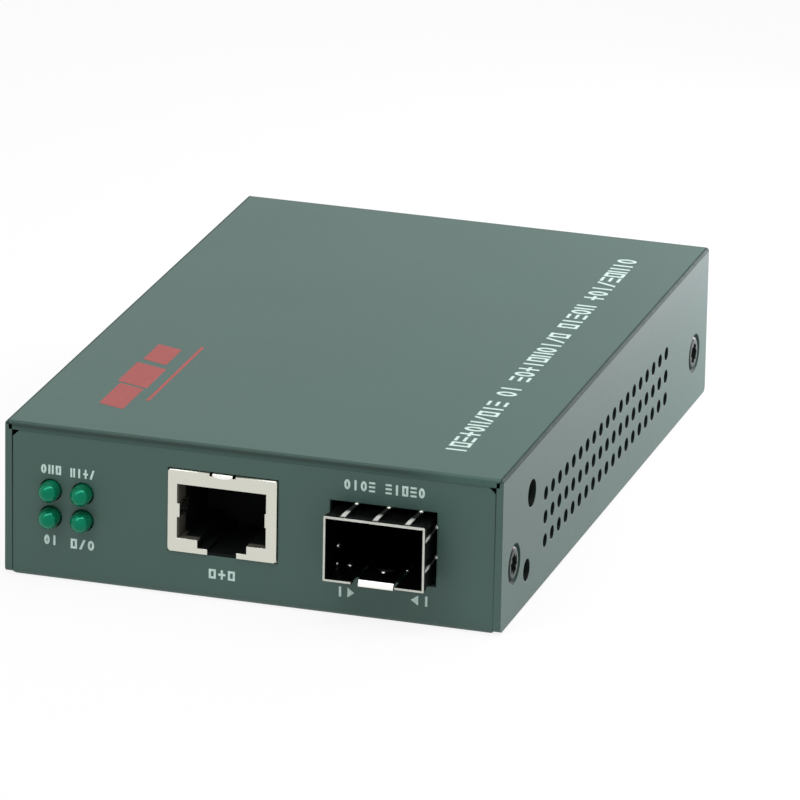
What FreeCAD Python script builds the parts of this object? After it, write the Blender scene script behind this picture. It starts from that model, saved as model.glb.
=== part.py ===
"""Fibre media converter: a small folded-steel desktop case with a copper network port, an empty cage for
a pluggable fibre module and four indicator lamps on its front, and a DC inlet on its rear.

Units are millimetres. X runs to the right as seen from the front, Y from the front to the rear, Z up.
The origin is the centre of the case's underside.
"""
import FreeCAD
import Part
import math
import os

V = FreeCAD.Vector
X_AXIS, Y_AXIS, Z_AXIS = V(1, 0, 0), V(0, 1, 0), V(0, 0, 1)

# ---------------------------------------------------------------- case
WIDTH, DEPTH, HEIGHT = 72.5, 108.0, 23.0
SHEET = 1.0                         # steel sheet of the cover and the tray
BEND = 1.2                          # outside radius of every fold
HEM = 0.4                           # the cover's side walls stop this far above the underside
HEM_CORNER = 0.8                    # rounded lower corners of the side walls
SEAM, TOP_SEAM = 0.1, 0.3           # gaps between the panels and the cover, at the sides and above
INSET = 0.1                         # the panels stand this far inside the cover's ends
FRONT, REAR = -DEPTH / 2, DEPTH / 2
INNER_X = WIDTH / 2 - SHEET         # inside face of the cover's side wall
PANEL_FRONT = FRONT + INSET         # outer face of the front panel
PANEL_REAR = REAR - INSET           # outer face of the rear panel
PANEL_TOP = HEIGHT - SHEET - TOP_SEAM
PANEL_CORNER, FOOT_CORNER = 1.0, 0.5  # clipped upper and lower corners of both panels

# vent holes: one square grid in each side wall
VENT_R, VENT_PITCH, VENT_COLUMNS, VENT_ROWS = 1.0, 3.52, 19, 3
VENT_FIRST_Y, VENT_TOP_Z = FRONT + 21.5, 13.75
VENT_SIDES = 8                      # small round shapes are many-sided prisms, which keeps the mesh light

# bracket holes near the front of each side wall: distance from the front, height, radius
BRACKET_HOLES = [(14.35, 16.2, 2.0), (12.4, 5.5, 1.6)]

# countersunk M3 screws that hold the cover to the tray's ears
SCREW_YS, SCREW_Z = [FRONT + 6.2, REAR - 7.0], 8.55
SCREW_R, SCREW_SINK_R, SCREW_LENGTH = 1.5, 3.05, 4.0
SCREW_SIDES = 16
HEAD_DROP = 0.1                     # the head lies this far below the cover's face
CROSS_LONG, CROSS_WIDE, CROSS_DEEP = 3.2, 0.75, 1.1

# tray lips and ears inside the cover's side walls
LIP_TOP, LIP_END = 3.2, DEPTH / 2 - 2.0
EAR_HALF, EAR_TOP, EAR_CORNER = 4.2, 13.0, 1.6
BOSS_R, BOSS_REACH = 2.3, 1.2       # the drawn collar that the screw threads into

# ---------------------------------------------------------------- board
BOARD_BOTTOM, BOARD_TOP = 5.1, 6.7
BOARD_X, BOARD_FRONT, BOARD_REAR = 32.7, FRONT + 2.8, REAR - 2.5
TAIL = 1.0                          # pins stand out this far under the board
STANDOFF_XY = [(x, y) for x in (-29.5, 29.5) for y in (FRONT + 16.0, REAR - 14.0)]
STANDOFF_R, SPIGOT_R, POST_SIDES = 2.7, 2.1, 8
BOARD_HOLE_R, BOARD_SCREW_HEAD_R, BOARD_SCREW_HEAD = 1.65, 2.75, 1.9

# ---------------------------------------------------------------- copper port
PORT_X, PORT_W, PORT_TOP = -4.23, 15.9, 18.8
PORT_FRONT, PORT_DEPTH = FRONT - 0.2, 18.0
PORT_SHEET, PORT_GAP = 0.3, 0.12    # the shield's sheet, and the gap between it and the panel
PORT_CORNER, PORT_FOOT_CORNER = 0.8, 0.35
MOUTH_HALF, MOUTH_LOW, MOUTH_TOP = 6.4, 8.7, 16.6
STEP_HALF, STEP_LOW = 3.6, 7.5
KEY_HALF, KEY_FLOOR = 2.13, 0.3      # the body has a thin floor under the key slot
MOUTH_DEPTH = 12.7
SIDE_TAB_LOW, SIDE_TAB_HIGH = 11.8, 13.8
CONTACT_COUNT, CONTACT_PITCH, CONTACT_WIDE, CONTACT_THICK = 8, 1.02, 0.35, 0.3

# ---------------------------------------------------------------- module cage
CAGE_X, CAGE_W, CAGE_LOW, CAGE_TOP = 19.1, 14.3, 6.8, 16.15
CAGE_FRONT, CAGE_LENGTH, CAGE_SHEET = FRONT - 4.6, 48.5, 0.3
CAGE_CORNER = 0.45
LATCH_HALF, LATCH_SLOT, LATCH_LENGTH = 2.67, 0.5, 9.5
LATCH_END, LATCH_RISE = 1.45, 0.2   # the tab's end lies this far inside the mouth; it is bowed up this much
LATCH_LIP, LATCH_DROP = 1.2, 0.9    # reach and fall of the lead-in lip on the tab's end
CUTOUT = (11.35, 26.85, 6.1, 17.05)  # panel opening round the cage: left, right, low, top
BAND = 0.15                         # thickness of the clip that carries the ground fingers
BAND_WIDE, FINGER_WIDE = 1.4, 0.9
FINGER_TOP_XS = [15.3, 19.95, 24.6]
FINGER_SIDE_ZS = [10.55, 14.95]
FINGER_LOW_XS = [13.4, 24.8]
CONNECTOR_HALF, CONNECTOR_DEEP, CONNECTOR_HIGH = 5.9, 9.2, 5.6

# ---------------------------------------------------------------- lamps
LAMP_XS, LAMP_ZS, LAMP_R = [-29.5, -24.8], [9.4, 13.35], 1.5
LAMP_HOLE_R, LAMP_SIDES = 1.65, 16
LAMP_PROUD = 1.0                    # straight part of the lens in front of the panel
DOME_DEGREES = [30, 58, 80]         # heights at which the dome's facets meet
HOLDER_FRONT, HOLDER_DEEP = PANEL_FRONT + SHEET + 0.2, 6.0
LAMP_BACK = HOLDER_FRONT + 3.4      # foot of the lamp inside the holder

# ---------------------------------------------------------------- DC inlet
JACK_X, JACK_HALF, JACK_TOP, JACK_DEEP = -20.0, 4.5, 17.7, 14.0
JACK_REAR = PANEL_REAR
JACK_BACK = JACK_REAR - JACK_DEEP
JACK_AXIS_Z, JACK_BORE_R, JACK_BORE_DEEP, JACK_PIN_R = 13.0, 3.15, 9.5, 1.0
JACK_SIDES, JACK_PIN_SIDES = 24, 12
JACK_CLEAR = 0.2
JACK_STRIP, JACK_TAIL_WIDE = 0.4, 1.6
JACK_SPRING_Y = JACK_REAR - 7.5

# ---------------------------------------------------------------- parts on the board
CRYSTAL_XY = (-22.0, -10.0)
CAN_R, CAN_TALL, CAN_LEG, CAN_SIDES = 4.0, 11.5, 1.75, 12
CAPACITOR_XY = [(-6.0, 44.0), (4.0, 44.0), (14.0, 44.0)]


# ================================================================ helpers
def block(x0, x1, y0, y1, z0, z1):
    """Box between two corners."""
    return Part.makeBox(x1 - x0, y1 - y0, z1 - z0, V(x0, y0, z0))


def rod(radius, length, start, along):
    """Cylinder from a point along a direction."""
    return Part.makeCylinder(radius, length, V(*start), along)


def layered(rings):
    """Solid with flat faces between matching outlines."""
    def face(points):
        return Part.Face(Part.makePolygon(points + points[:1]))

    faces = [face(rings[0]), face(rings[-1])]
    for low, high in zip(rings, rings[1:]):
        for i, point in enumerate(low):
            faces.append(face([low[i - 1], point, high[i], high[i - 1]]))
    solid = Part.Solid(Part.Shell(faces))
    if solid.Volume < 0:
        solid.reverse()
    return solid


def turned(profile, sides, start, along):
    """Round piece from (radius, distance) pairs, with flat sides, from a point along a direction."""
    turns = [2 * math.pi * (i + 0.5) / sides for i in range(sides)]
    rings = [[V(radius * math.cos(t), radius * math.sin(t), away) for t in turns] for radius, away in profile]
    solid = layered(rings)
    solid.Placement = FreeCAD.Placement(V(*start), FreeCAD.Rotation(Z_AXIS, along))
    return solid


def peg(radius, length, sides, start, along):
    """Straight many-sided peg or hole."""
    return turned([(radius, 0), (radius, length)], sides, start, along)


def fuse(shapes):
    """One solid from several that touch or overlap."""
    return shapes[0].multiFuse(shapes[1:]).removeSplitter()


def edges_along(shape, axis, keep):
    """Straight edges parallel to an axis whose middle passes the test."""
    found = []
    for edge in shape.Edges:
        if edge.Curve.TypeId == "Part::GeomLine":
            direction = edge.tangentAt(edge.FirstParameter)
            if abs(abs(direction.dot(axis)) - 1) < 1e-6 and keep(edge.CenterOfMass):
                found.append(edge)
    return found


def round_edges(shape, radius, axis, keep=lambda point: True):
    """Round the edges along an axis that pass the test."""
    return shape.makeFillet(radius, edges_along(shape, axis, keep))


def ribbon(points, thick, x0, x1):
    """Flat strip that follows a path in the Y-Z plane, between two X values, with mitred corners."""
    path = [V(0, y, z) for y, z in points]
    left, right = [], []
    for i, here in enumerate(path):
        into = (here - path[i - 1]).normalize() if i > 0 else None
        out = (path[i + 1] - here).normalize() if i + 1 < len(path) else None
        into, out = into or out, out or into
        normal = V(0, -(into.z + out.z), into.y + out.y).normalize()
        reach = thick / 2 / normal.dot(V(0, -into.z, into.y))
        left.append(here + normal * reach)
        right.append(here - normal * reach)
    outline = left + right[::-1]
    face = Part.Face(Part.makePolygon(outline + outline[:1]))
    face.translate(V(x0, 0, 0))
    return face.extrude(V(x1 - x0, 0, 0))


def corner_wedge(x, z, size, y0, y1):
    """Tool that clips a lower right-hand corner between two Y values."""
    over = 0.1
    outline = [(x - size - over, z - over), (x + over, z - over), (x + over, z + size + over)]
    return layered([[V(px, y, pz) for px, pz in outline] for y in (y0, y1)])


def mirror_x(shape):
    """The same piece on the other side of the case."""
    return shape.mirror(V(0, 0, 0), X_AXIS)


def group(shapes):
    """Several separate solids in one node."""
    return Part.makeCompound(shapes)


# ================================================================ case
def screw_holes():
    """Countersunk holes of the four cover screws, through both walls and the ears inside them."""
    over, deep = 0.5, 5.0
    profile = [(SCREW_SINK_R + over, -over), (SCREW_R, SCREW_SINK_R - SCREW_R), (SCREW_R, deep)]
    holes = [turned(profile, SCREW_SIDES, (WIDTH / 2, y, SCREW_Z), -X_AXIS) for y in SCREW_YS]
    return holes + [mirror_x(hole) for hole in holes]


def top_cover():
    """Top and two side walls folded from one sheet, open at the front, the rear and below."""
    outer = block(-WIDTH / 2, WIDTH / 2, FRONT, REAR, HEM, HEIGHT)
    outer = round_edges(outer, BEND, Y_AXIS, lambda p: p.z > HEIGHT - 0.1)
    cover = outer.cut(block(-INNER_X, INNER_X, FRONT - 1, REAR + 1, HEM - 1, HEIGHT - SHEET))
    cover = round_edges(cover, HEM_CORNER, X_AXIS, lambda p: p.z < HEM + 0.1)
    tools = []
    for column in range(VENT_COLUMNS):
        for row in range(VENT_ROWS):
            y, z = VENT_FIRST_Y + column * VENT_PITCH, VENT_TOP_Z - row * VENT_PITCH
            tools.append(peg(VENT_R, WIDTH + 2, VENT_SIDES, (-WIDTH / 2 - 1, y, z), X_AXIS))
    for from_front, z, radius in BRACKET_HOLES:
        tools.append(rod(radius, WIDTH + 2, (-WIDTH / 2 - 1, FRONT + from_front, z), X_AXIS))
    return cover.cut(tools + screw_holes())


def ear(y):
    """Upright ear of the tray on the right, with the collar that a cover screw threads into."""
    plate = block(INNER_X - SHEET, INNER_X, y - EAR_HALF, y + EAR_HALF, SHEET, EAR_TOP)
    plate = plate.makeChamfer(EAR_CORNER, edges_along(plate, X_AXIS, lambda p: p.z > SHEET + 1))
    return plate.fuse(peg(BOSS_R, BOSS_REACH, SCREW_SIDES, (INNER_X - SHEET, y, SCREW_Z), -X_AXIS))


def port_outline_cut(y0, y1, key_low):
    """Keyed opening of the copper port as a solid between two Y values."""
    keyhole = [block(PORT_X - MOUTH_HALF, PORT_X + MOUTH_HALF, y0, y1, MOUTH_LOW, MOUTH_TOP),
               block(PORT_X - STEP_HALF, PORT_X + STEP_HALF, y0, y1, STEP_LOW, MOUTH_TOP),
               block(PORT_X - KEY_HALF, PORT_X + KEY_HALF, y0, y1, key_low, MOUTH_TOP)]
    return fuse(keyhole)


def base_tray():
    """Floor, front and rear panel, side lips and screw ears, folded from one sheet."""
    panel_x = INNER_X - SEAM
    floor = block(-INNER_X, INNER_X, PANEL_FRONT, PANEL_REAR, 0, SHEET)
    panels = []
    for y in (PANEL_FRONT, PANEL_REAR - SHEET):
        panel = block(-panel_x, panel_x, y, y + SHEET, 0, PANEL_TOP)
        panels.append(panel.makeChamfer(PANEL_CORNER, edges_along(panel, Y_AXIS, lambda p: p.z > SHEET)))
    lip = block(INNER_X - SHEET, INNER_X, -LIP_END, LIP_END, 0, LIP_TOP)
    ears = [ear(y) for y in SCREW_YS]
    tray = fuse([floor, lip, mirror_x(lip)] + panels + ears + [mirror_x(e) for e in ears])
    reliefs = []
    for y0, y1 in ((PANEL_FRONT - 1, -LIP_END), (LIP_END, PANEL_REAR + 1)):
        side = block(panel_x, INNER_X + 1, y0, y1, -1, SHEET + 1)
        reliefs += [side, mirror_x(side)]
    for y0, y1 in ((PANEL_FRONT + SHEET, -LIP_END), (LIP_END, PANEL_REAR - SHEET)):
        notch = block(INNER_X - 1.6 * SHEET, INNER_X + 1, y0, y1, -1, SHEET + 1)
        reliefs += [notch, mirror_x(notch)]
    tray = tray.cut(reliefs)
    tray = round_edges(tray, BEND, X_AXIS, lambda p: p.z < 0.01 and abs(p.y) > PANEL_REAR - 0.01)
    tray = round_edges(tray, BEND, Y_AXIS, lambda p: p.z < 0.01 and abs(p.x) > INNER_X - 0.01)
    tools = screw_holes()
    for y0, y1 in ((PANEL_FRONT - 1, -LIP_END), (LIP_END, PANEL_REAR + 1)):
        wedge = corner_wedge(panel_x, 0, FOOT_CORNER, y0, y1)
        tools += [wedge, mirror_x(wedge)]
    through = 2 * SHEET
    half = PORT_W / 2 + PORT_GAP
    tools.append(block(PORT_X - half, PORT_X + half, FRONT - 1, FRONT + through,
                       BOARD_TOP - PORT_GAP, PORT_TOP + PORT_GAP))
    left, right, low, top = CUTOUT
    tools.append(block(left, right, FRONT - 1, FRONT + through, low, top))
    for x in LAMP_XS:
        tools += [peg(LAMP_HOLE_R, SHEET + 3, LAMP_SIDES, (x, FRONT - 1, z), Y_AXIS) for z in LAMP_ZS]
    tools.append(block(JACK_X - JACK_HALF - JACK_CLEAR, JACK_X + JACK_HALF + JACK_CLEAR,
                       REAR - through, REAR + 1, BOARD_TOP - JACK_CLEAR, JACK_TOP + JACK_CLEAR))
    tools += [peg(SPIGOT_R, SHEET + 2, POST_SIDES, (x, y, -1), Z_AXIS) for x, y in STANDOFF_XY]
    return tray.cut(tools)


def cross_recess(depth, long_half, wide_half):
    """Tapered cross socket, open at x = 0 and reaching towards -X."""
    foot = 0.35                     # share of the arm's length left at the bottom
    arms = []
    for turn in (0, 90):
        top = [V(0, -long_half, -wide_half), V(0, long_half, -wide_half),
               V(0, long_half, wide_half), V(0, -long_half, wide_half)]
        low = [V(-depth, p.y * foot, p.z * 0.7) for p in top]
        arm = layered([top, low])
        arm.rotate(V(0, 0, 0), X_AXIS, turn)
        arms.append(arm)
    return fuse(arms)


def cover_screws():
    """Four countersunk M3 screws, two through each side wall."""
    screws = []
    head_r = SCREW_SINK_R - HEAD_DROP
    recess = cross_recess(CROSS_DEEP, CROSS_LONG / 2, CROSS_WIDE / 2)
    for y in SCREW_YS:
        face_x = WIDTH / 2 - HEAD_DROP
        profile = [(head_r, 0), (SCREW_R, head_r - SCREW_R), (SCREW_R, SCREW_LENGTH)]
        screw = turned(profile, SCREW_SIDES, (face_x, y, SCREW_Z), -X_AXIS)
        socket = recess.copy()
        socket.rotate(V(0, 0, 0), X_AXIS, 8)
        socket.translate(V(face_x, y, SCREW_Z))
        screws.append(screw.cut(socket))
    return group(screws + [mirror_x(screw) for screw in screws])


# ================================================================ board and its fixings
def board_standoffs():
    """Four standoffs pressed into the floor, each with a blind screw hole."""
    posts = []
    for x, y in STANDOFF_XY:
        profile = [(SPIGOT_R, 0), (SPIGOT_R, SHEET), (STANDOFF_R, SHEET), (STANDOFF_R, BOARD_BOTTOM)]
        post = turned(profile, POST_SIDES, (x, y, 0), Z_AXIS)
        posts.append(post.cut(peg(SCREW_R, BOARD_BOTTOM, POST_SIDES, (x, y, SHEET), Z_AXIS)))
    return group(posts)


def board_screws():
    """Four pan-head screws that hold the board on its standoffs."""
    shank, rim = 4.4, 0.5
    head_r, head = BOARD_SCREW_HEAD_R, BOARD_SCREW_HEAD
    profile = [(SCREW_R, -shank), (SCREW_R, 0), (head_r, 0), (head_r, head - rim), (head_r - rim, head)]
    return group([turned(profile, POST_SIDES, (x, y, BOARD_TOP), Z_AXIS) for x, y in STANDOFF_XY])


def circuit_board():
    """Board with its screw holes and the holes of every pin that goes through it."""
    board = block(-BOARD_X, BOARD_X, BOARD_FRONT, BOARD_REAR, BOARD_BOTTOM, BOARD_TOP)
    holes = [peg(BOARD_HOLE_R, 4, POST_SIDES, (x, y, BOARD_BOTTOM - 1), Z_AXIS) for x, y in STANDOFF_XY]
    return board.cut(holes + through_pins())


def pin(x, y, wide, deep, top=BOARD_TOP):
    """Flat pin from a height down through the board."""
    return block(x - wide / 2, x + wide / 2, y - deep / 2, y + deep / 2, BOARD_BOTTOM - TAIL, top)


def through_pins():
    """Every pin, post and tab that goes through the board."""
    return (port_posts() + port_tabs() + cage_pins() + jack_tails() + capacitor_legs() + crystal_legs()
            + lamp_tails() + contact_tails())


# ================================================================ copper port
def port_posts():
    """Two round pegs under the copper port."""
    length, y = BOARD_TOP - BOARD_BOTTOM + TAIL, PORT_FRONT + 9.0
    return [peg(1.6, length, POST_SIDES, (PORT_X + side * 5.7, y, BOARD_TOP), -Z_AXIS) for side in (-1, 1)]


def port_tabs():
    """Solder tabs under the side walls of the port's shield."""
    reach = PORT_W / 2 - PORT_SHEET / 2
    y = PORT_FRONT + 12.5
    return [pin(PORT_X + side * reach, y, PORT_SHEET, 1.6, BOARD_TOP + 1.0) for side in (-1, 1)]


def copper_port_shield():
    """Folded metal shell round the port, open below, with the keyed mouth in its front face."""
    left, right = PORT_X - PORT_W / 2, PORT_X + PORT_W / 2
    rear = PORT_FRONT + PORT_DEPTH
    shell = block(left, right, PORT_FRONT, rear, BOARD_TOP, PORT_TOP)
    shell = round_edges(shell, PORT_CORNER, Y_AXIS, lambda p: p.z > BOARD_TOP + 1)
    hollow = block(left + PORT_SHEET, right - PORT_SHEET, PORT_FRONT + PORT_SHEET, rear - PORT_SHEET,
                   BOARD_TOP - 1, PORT_TOP - PORT_SHEET)
    upper = edges_along(hollow, Y_AXIS, lambda p: p.z > BOARD_TOP)
    hollow = hollow.makeChamfer(PORT_CORNER - PORT_SHEET, upper)
    foot = corner_wedge(right, BOARD_TOP, PORT_FOOT_CORNER, PORT_FRONT - 1, PORT_FRONT + PORT_SHEET)
    shell = shell.cut([hollow, port_outline_cut(PORT_FRONT - 1, PORT_FRONT + 1, BOARD_TOP - 1),
                       foot, foot.mirror(V(PORT_X, 0, 0), X_AXIS)])
    tab_half, slit, slit_deep, slit_low = 1.45, 0.45, 4.0, 0.45
    slits = []
    for side in (-1, 1):
        x = PORT_X + side * (tab_half + slit / 2)
        slits.append(block(x - slit / 2, x + slit / 2, PORT_FRONT - 1, PORT_FRONT + slit_deep,
                           PORT_TOP - slit_low, PORT_TOP + 1))
    shell = shell.cut(slits)
    bulge = [(PORT_FRONT + 0.6, PORT_TOP - 0.15), (PORT_FRONT + 1.4, PORT_TOP - 0.06),
             (PORT_FRONT + 2.6, PORT_TOP - 0.06), (PORT_FRONT + slit_deep, PORT_TOP - 0.15)]
    top_tab = ribbon(bulge, 0.3, PORT_X - tab_half, PORT_X + tab_half)
    side_tabs = []
    for side in (-1, 1):
        inner = PORT_X + side * (MOUTH_HALF - 0.38)
        outer = PORT_X + side * (MOUTH_HALF + 0.02)
        low_x, high_x = sorted((inner, outer))
        side_tabs.append(block(low_x, high_x, PORT_FRONT, PORT_FRONT + 3.4, SIDE_TAB_LOW, SIDE_TAB_HIGH))
    return fuse([shell, top_tab] + side_tabs + port_tabs())


def contact_channel():
    """Space in the port's body for the contact wires, above and behind the plug."""
    half = CONTACT_COUNT * CONTACT_PITCH / 2
    x0, x1 = PORT_X - half, PORT_X + half
    rear = PORT_FRONT + PORT_DEPTH
    over = block(x0, x1, PORT_FRONT + 2.2, rear - 2.0, MOUTH_TOP - 0.1, PORT_TOP - 1.15)
    behind = block(x0, x1, rear - 2.4, rear - 2.0, BOARD_TOP - 1, PORT_TOP - 1.15)
    return [over, behind]


def copper_port_body():
    """Moulded insulator inside the shield, with the plug's cavity."""
    half = PORT_W / 2 - PORT_SHEET
    front = PORT_FRONT + PORT_SHEET
    body = block(PORT_X - half, PORT_X + half, front, PORT_FRONT + PORT_DEPTH - PORT_SHEET,
                 BOARD_TOP, PORT_TOP - PORT_SHEET)
    upper = edges_along(body, Y_AXIS, lambda p: p.z > BOARD_TOP + 1)
    body = body.makeChamfer(PORT_CORNER - PORT_SHEET, upper)
    cavity = port_outline_cut(front - 1, front + MOUTH_DEPTH, BOARD_TOP + KEY_FLOOR)
    tab_room = block(PORT_X - 2.0, PORT_X + 2.0, front - 1, front + 4.0, PORT_TOP - 0.9, PORT_TOP + 1)
    grooves = [block(PORT_X + side * MOUTH_HALF - 0.03, PORT_X + side * MOUTH_HALF + 0.03, front - 1,
                     front + 3.4, SIDE_TAB_LOW - 0.1, SIDE_TAB_HIGH + 0.1) for side in (-1, 1)]
    body = body.cut([cavity, tab_room] + grooves + contact_channel())
    return fuse([body] + port_posts())


def contact_xs():
    """Middle of each contact wire."""
    first = PORT_X - (CONTACT_COUNT - 1) * CONTACT_PITCH / 2
    return [first + i * CONTACT_PITCH for i in range(CONTACT_COUNT)]


def contact_tails():
    """Tails of the contact wires, through the board."""
    y = PORT_FRONT + PORT_DEPTH - 2.2
    return [pin(x, y, CONTACT_WIDE, CONTACT_THICK) for x in contact_xs()]


def copper_port_contacts():
    """Eight sprung wires: up from the board, forward over the plug and back down into its cavity."""
    ceiling = PORT_TOP - 1.15 - CONTACT_THICK / 2
    rear = PORT_FRONT + PORT_DEPTH - 2.2
    path = [(rear, BOARD_BOTTOM - TAIL), (rear, ceiling), (PORT_FRONT + 2.9, ceiling),
            (PORT_FRONT + 2.6, ceiling - 0.5), (PORT_FRONT + 10.6, MOUTH_TOP - 3.0)]
    wires = []
    for x in contact_xs():
        wires.append(ribbon(path, CONTACT_THICK, x - CONTACT_WIDE / 2, x + CONTACT_WIDE / 2))
    return group(wires)


# ================================================================ module cage
def cage_pins():
    """Press-in pins along the foot of both cage walls."""
    reach = CAGE_W / 2 - CAGE_SHEET / 2
    ys = [FRONT + 5.5 + i * 17.6 for i in range(3)]
    return [pin(CAGE_X + side * reach, y, CAGE_SHEET, 0.9, CAGE_LOW + 0.6) for side in (-1, 1) for y in ys]


def latch_tab():
    """Sprung tab in the cage floor, with a lead-in lip at its end and the catch window near it."""
    low, high = CAGE_LOW, CAGE_LOW + CAGE_SHEET
    middle = (low + high) / 2
    end, top = CAGE_FRONT + LATCH_END, middle + LATCH_RISE
    path = [(CAGE_FRONT + LATCH_LENGTH, middle), (end + LATCH_LIP + 0.6, top), (end + LATCH_LIP, top),
            (end, top - LATCH_DROP)]
    tab = ribbon(path, CAGE_SHEET, CAGE_X - LATCH_HALF, CAGE_X + LATCH_HALF)
    window = Part.Face(Part.makePolygon([V(CAGE_X - 1.3, CAGE_FRONT + 6.2, low - 1),
                                         V(CAGE_X + 1.3, CAGE_FRONT + 6.2, low - 1),
                                         V(CAGE_X, CAGE_FRONT + 4.2, low - 1),
                                         V(CAGE_X - 1.3, CAGE_FRONT + 6.2, low - 1)])).extrude(V(0, 0, 3))
    return tab.cut(window)


def module_cage():
    """Folded sheet tube that guides and grounds a pluggable module, standing out of the panel."""
    x0, x1 = CAGE_X - CAGE_W / 2, CAGE_X + CAGE_W / 2
    rear = CAGE_FRONT + CAGE_LENGTH
    tube = block(x0, x1, CAGE_FRONT, rear, CAGE_LOW, CAGE_TOP)
    tube = round_edges(tube, CAGE_CORNER, Y_AXIS)
    bore = block(x0 + CAGE_SHEET, x1 - CAGE_SHEET, CAGE_FRONT - 1, rear - CAGE_SHEET,
                 CAGE_LOW + CAGE_SHEET, CAGE_TOP - CAGE_SHEET)
    half = LATCH_HALF + LATCH_SLOT
    tools = [bore,
             block(CAGE_X - half, CAGE_X + half, CAGE_FRONT - 1, CAGE_FRONT + LATCH_LENGTH,
                   CAGE_LOW - 1, CAGE_LOW + CAGE_SHEET + 0.01),
             block(x0 + 0.6, x1 - 0.6, rear - 15.0, rear + 1, CAGE_LOW - 1, CAGE_LOW + CAGE_SHEET + 0.01)]
    return fuse([tube.cut(tools), latch_tab()] + cage_pins())


def finger_path(surface, edge):
    """Side view of one finger: distance from the front against height over the cage's face."""
    touch = edge - BAND / 2 - 0.02
    start = CAGE_FRONT + BAND_WIDE - 0.2
    rise = touch - surface
    return [(start, surface + BAND / 2), (start + 1.8, surface + 0.8 * rise), (FRONT + 0.2, touch),
            (FRONT + 1.4, surface + 0.8 * rise), (FRONT + 2.6, surface + 0.35 * rise)]


def cage_ground_fingers():
    """Clip round the cage's mouth whose sprung fingers touch the panel's cut-out."""
    x0, x1 = CAGE_X - CAGE_W / 2, CAGE_X + CAGE_W / 2
    ring = block(x0 - BAND, x1 + BAND, CAGE_FRONT, CAGE_FRONT + BAND_WIDE, CAGE_LOW - BAND, CAGE_TOP + BAND)
    ring = ring.makeChamfer(CAGE_CORNER, edges_along(ring, Y_AXIS, lambda p: True))
    hole = block(x0, x1, CAGE_FRONT - 1, CAGE_FRONT + BAND_WIDE + 1, CAGE_LOW, CAGE_TOP)
    hole = round_edges(hole, CAGE_CORNER, Y_AXIS)
    half = LATCH_HALF + LATCH_SLOT
    gap = block(CAGE_X - half, CAGE_X + half, CAGE_FRONT - 1, CAGE_FRONT + BAND_WIDE + 1,
                CAGE_LOW - 1, CAGE_LOW + 0.1)
    ring = ring.cut([hole, gap])
    left, right, low, top = CUTOUT
    fingers = []
    for x in FINGER_TOP_XS:
        fingers.append(ribbon(finger_path(CAGE_TOP, top), BAND, x - FINGER_WIDE / 2, x + FINGER_WIDE / 2))
    for z in FINGER_SIDE_ZS:
        flat = ribbon(finger_path(x1, right), BAND, -FINGER_WIDE / 2, FINGER_WIDE / 2)
        flat.rotate(V(0, 0, 0), Y_AXIS, 90)
        flat.translate(V(0, 0, z))
        other = flat.mirror(V(CAGE_X, 0, 0), X_AXIS)
        fingers += [flat, other]
    for x in FINGER_LOW_XS:
        under = ribbon(finger_path(-CAGE_LOW, -low), BAND, x - FINGER_WIDE / 2, x + FINGER_WIDE / 2)
        fingers.append(under.mirror(V(0, 0, 0), Z_AXIS))
    return fuse([ring] + fingers)


def connector_front():
    """Front face of the host connector in the cage."""
    return CAGE_FRONT + CAGE_LENGTH - 3.5 - CONNECTOR_DEEP


def module_connector():
    """Edge connector at the cage's rear that takes the module's board."""
    front = connector_front()
    body = block(CAGE_X - CONNECTOR_HALF, CAGE_X + CONNECTOR_HALF, front, front + CONNECTOR_DEEP,
                 BOARD_TOP, BOARD_TOP + CONNECTOR_HIGH)
    nose = BOARD_TOP + CONNECTOR_HIGH
    body = body.makeChamfer(0.8, edges_along(body, X_AXIS, lambda p: p.z > nose - 0.1 and p.y < front + 0.1))
    slot = block(CAGE_X - 4.8, CAGE_X + 4.8, front - 1, front + 6.0, BOARD_TOP + 2.4, BOARD_TOP + 3.7)
    return body.cut(slot)


def module_connector_contacts():
    """Eight solder feet on each side of the host connector."""
    feet = []
    front = connector_front()
    for i in range(8):
        x = CAGE_X - 3.5 + i * 1.0
        for y0, y1 in ((front - 1.2, front), (front + CONNECTOR_DEEP, front + CONNECTOR_DEEP + 1.2)):
            feet.append(block(x - 0.15, x + 0.15, y0, y1, BOARD_TOP, BOARD_TOP + 0.2))
    return group(feet)


# ================================================================ lamps
def lamp(x, z):
    """Indicator lamp: domed lens on a straight body."""
    length = LAMP_BACK - PANEL_FRONT + LAMP_PROUD
    profile = [(LAMP_R, 0), (LAMP_R, length)]
    for turn in map(math.radians, DOME_DEGREES):
        profile.append((LAMP_R * math.cos(turn), length + LAMP_R * math.sin(turn)))
    return turned(profile, LAMP_SIDES, (x, LAMP_BACK, z), -Y_AXIS)


def lead_places():
    """Place of each lamp lead: across, height of the lamp, distance back from the holder's front."""
    places = []
    for x in LAMP_XS:
        for row, z in enumerate(LAMP_ZS):
            for side in (-1.27, 1.27):
                places.append((x + side / 2, z, HOLDER_FRONT + HOLDER_DEEP + 0.6 + 1.2 * row))
    return places


def lamp_tails():
    """Lower ends of the lamp leads, through the board."""
    return [pin(x, y, 0.45, 0.45) for x, z, y in lead_places()]


def lamp_leads():
    """Eight bent leads from the lamps down to the board."""
    leads = []
    for x, z, y in lead_places():
        path = [(LAMP_BACK, z), (y, z), (y, BOARD_BOTTOM - TAIL)]
        leads.append(ribbon(path, 0.45, x - 0.225, x + 0.225))
    return group(leads)


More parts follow.
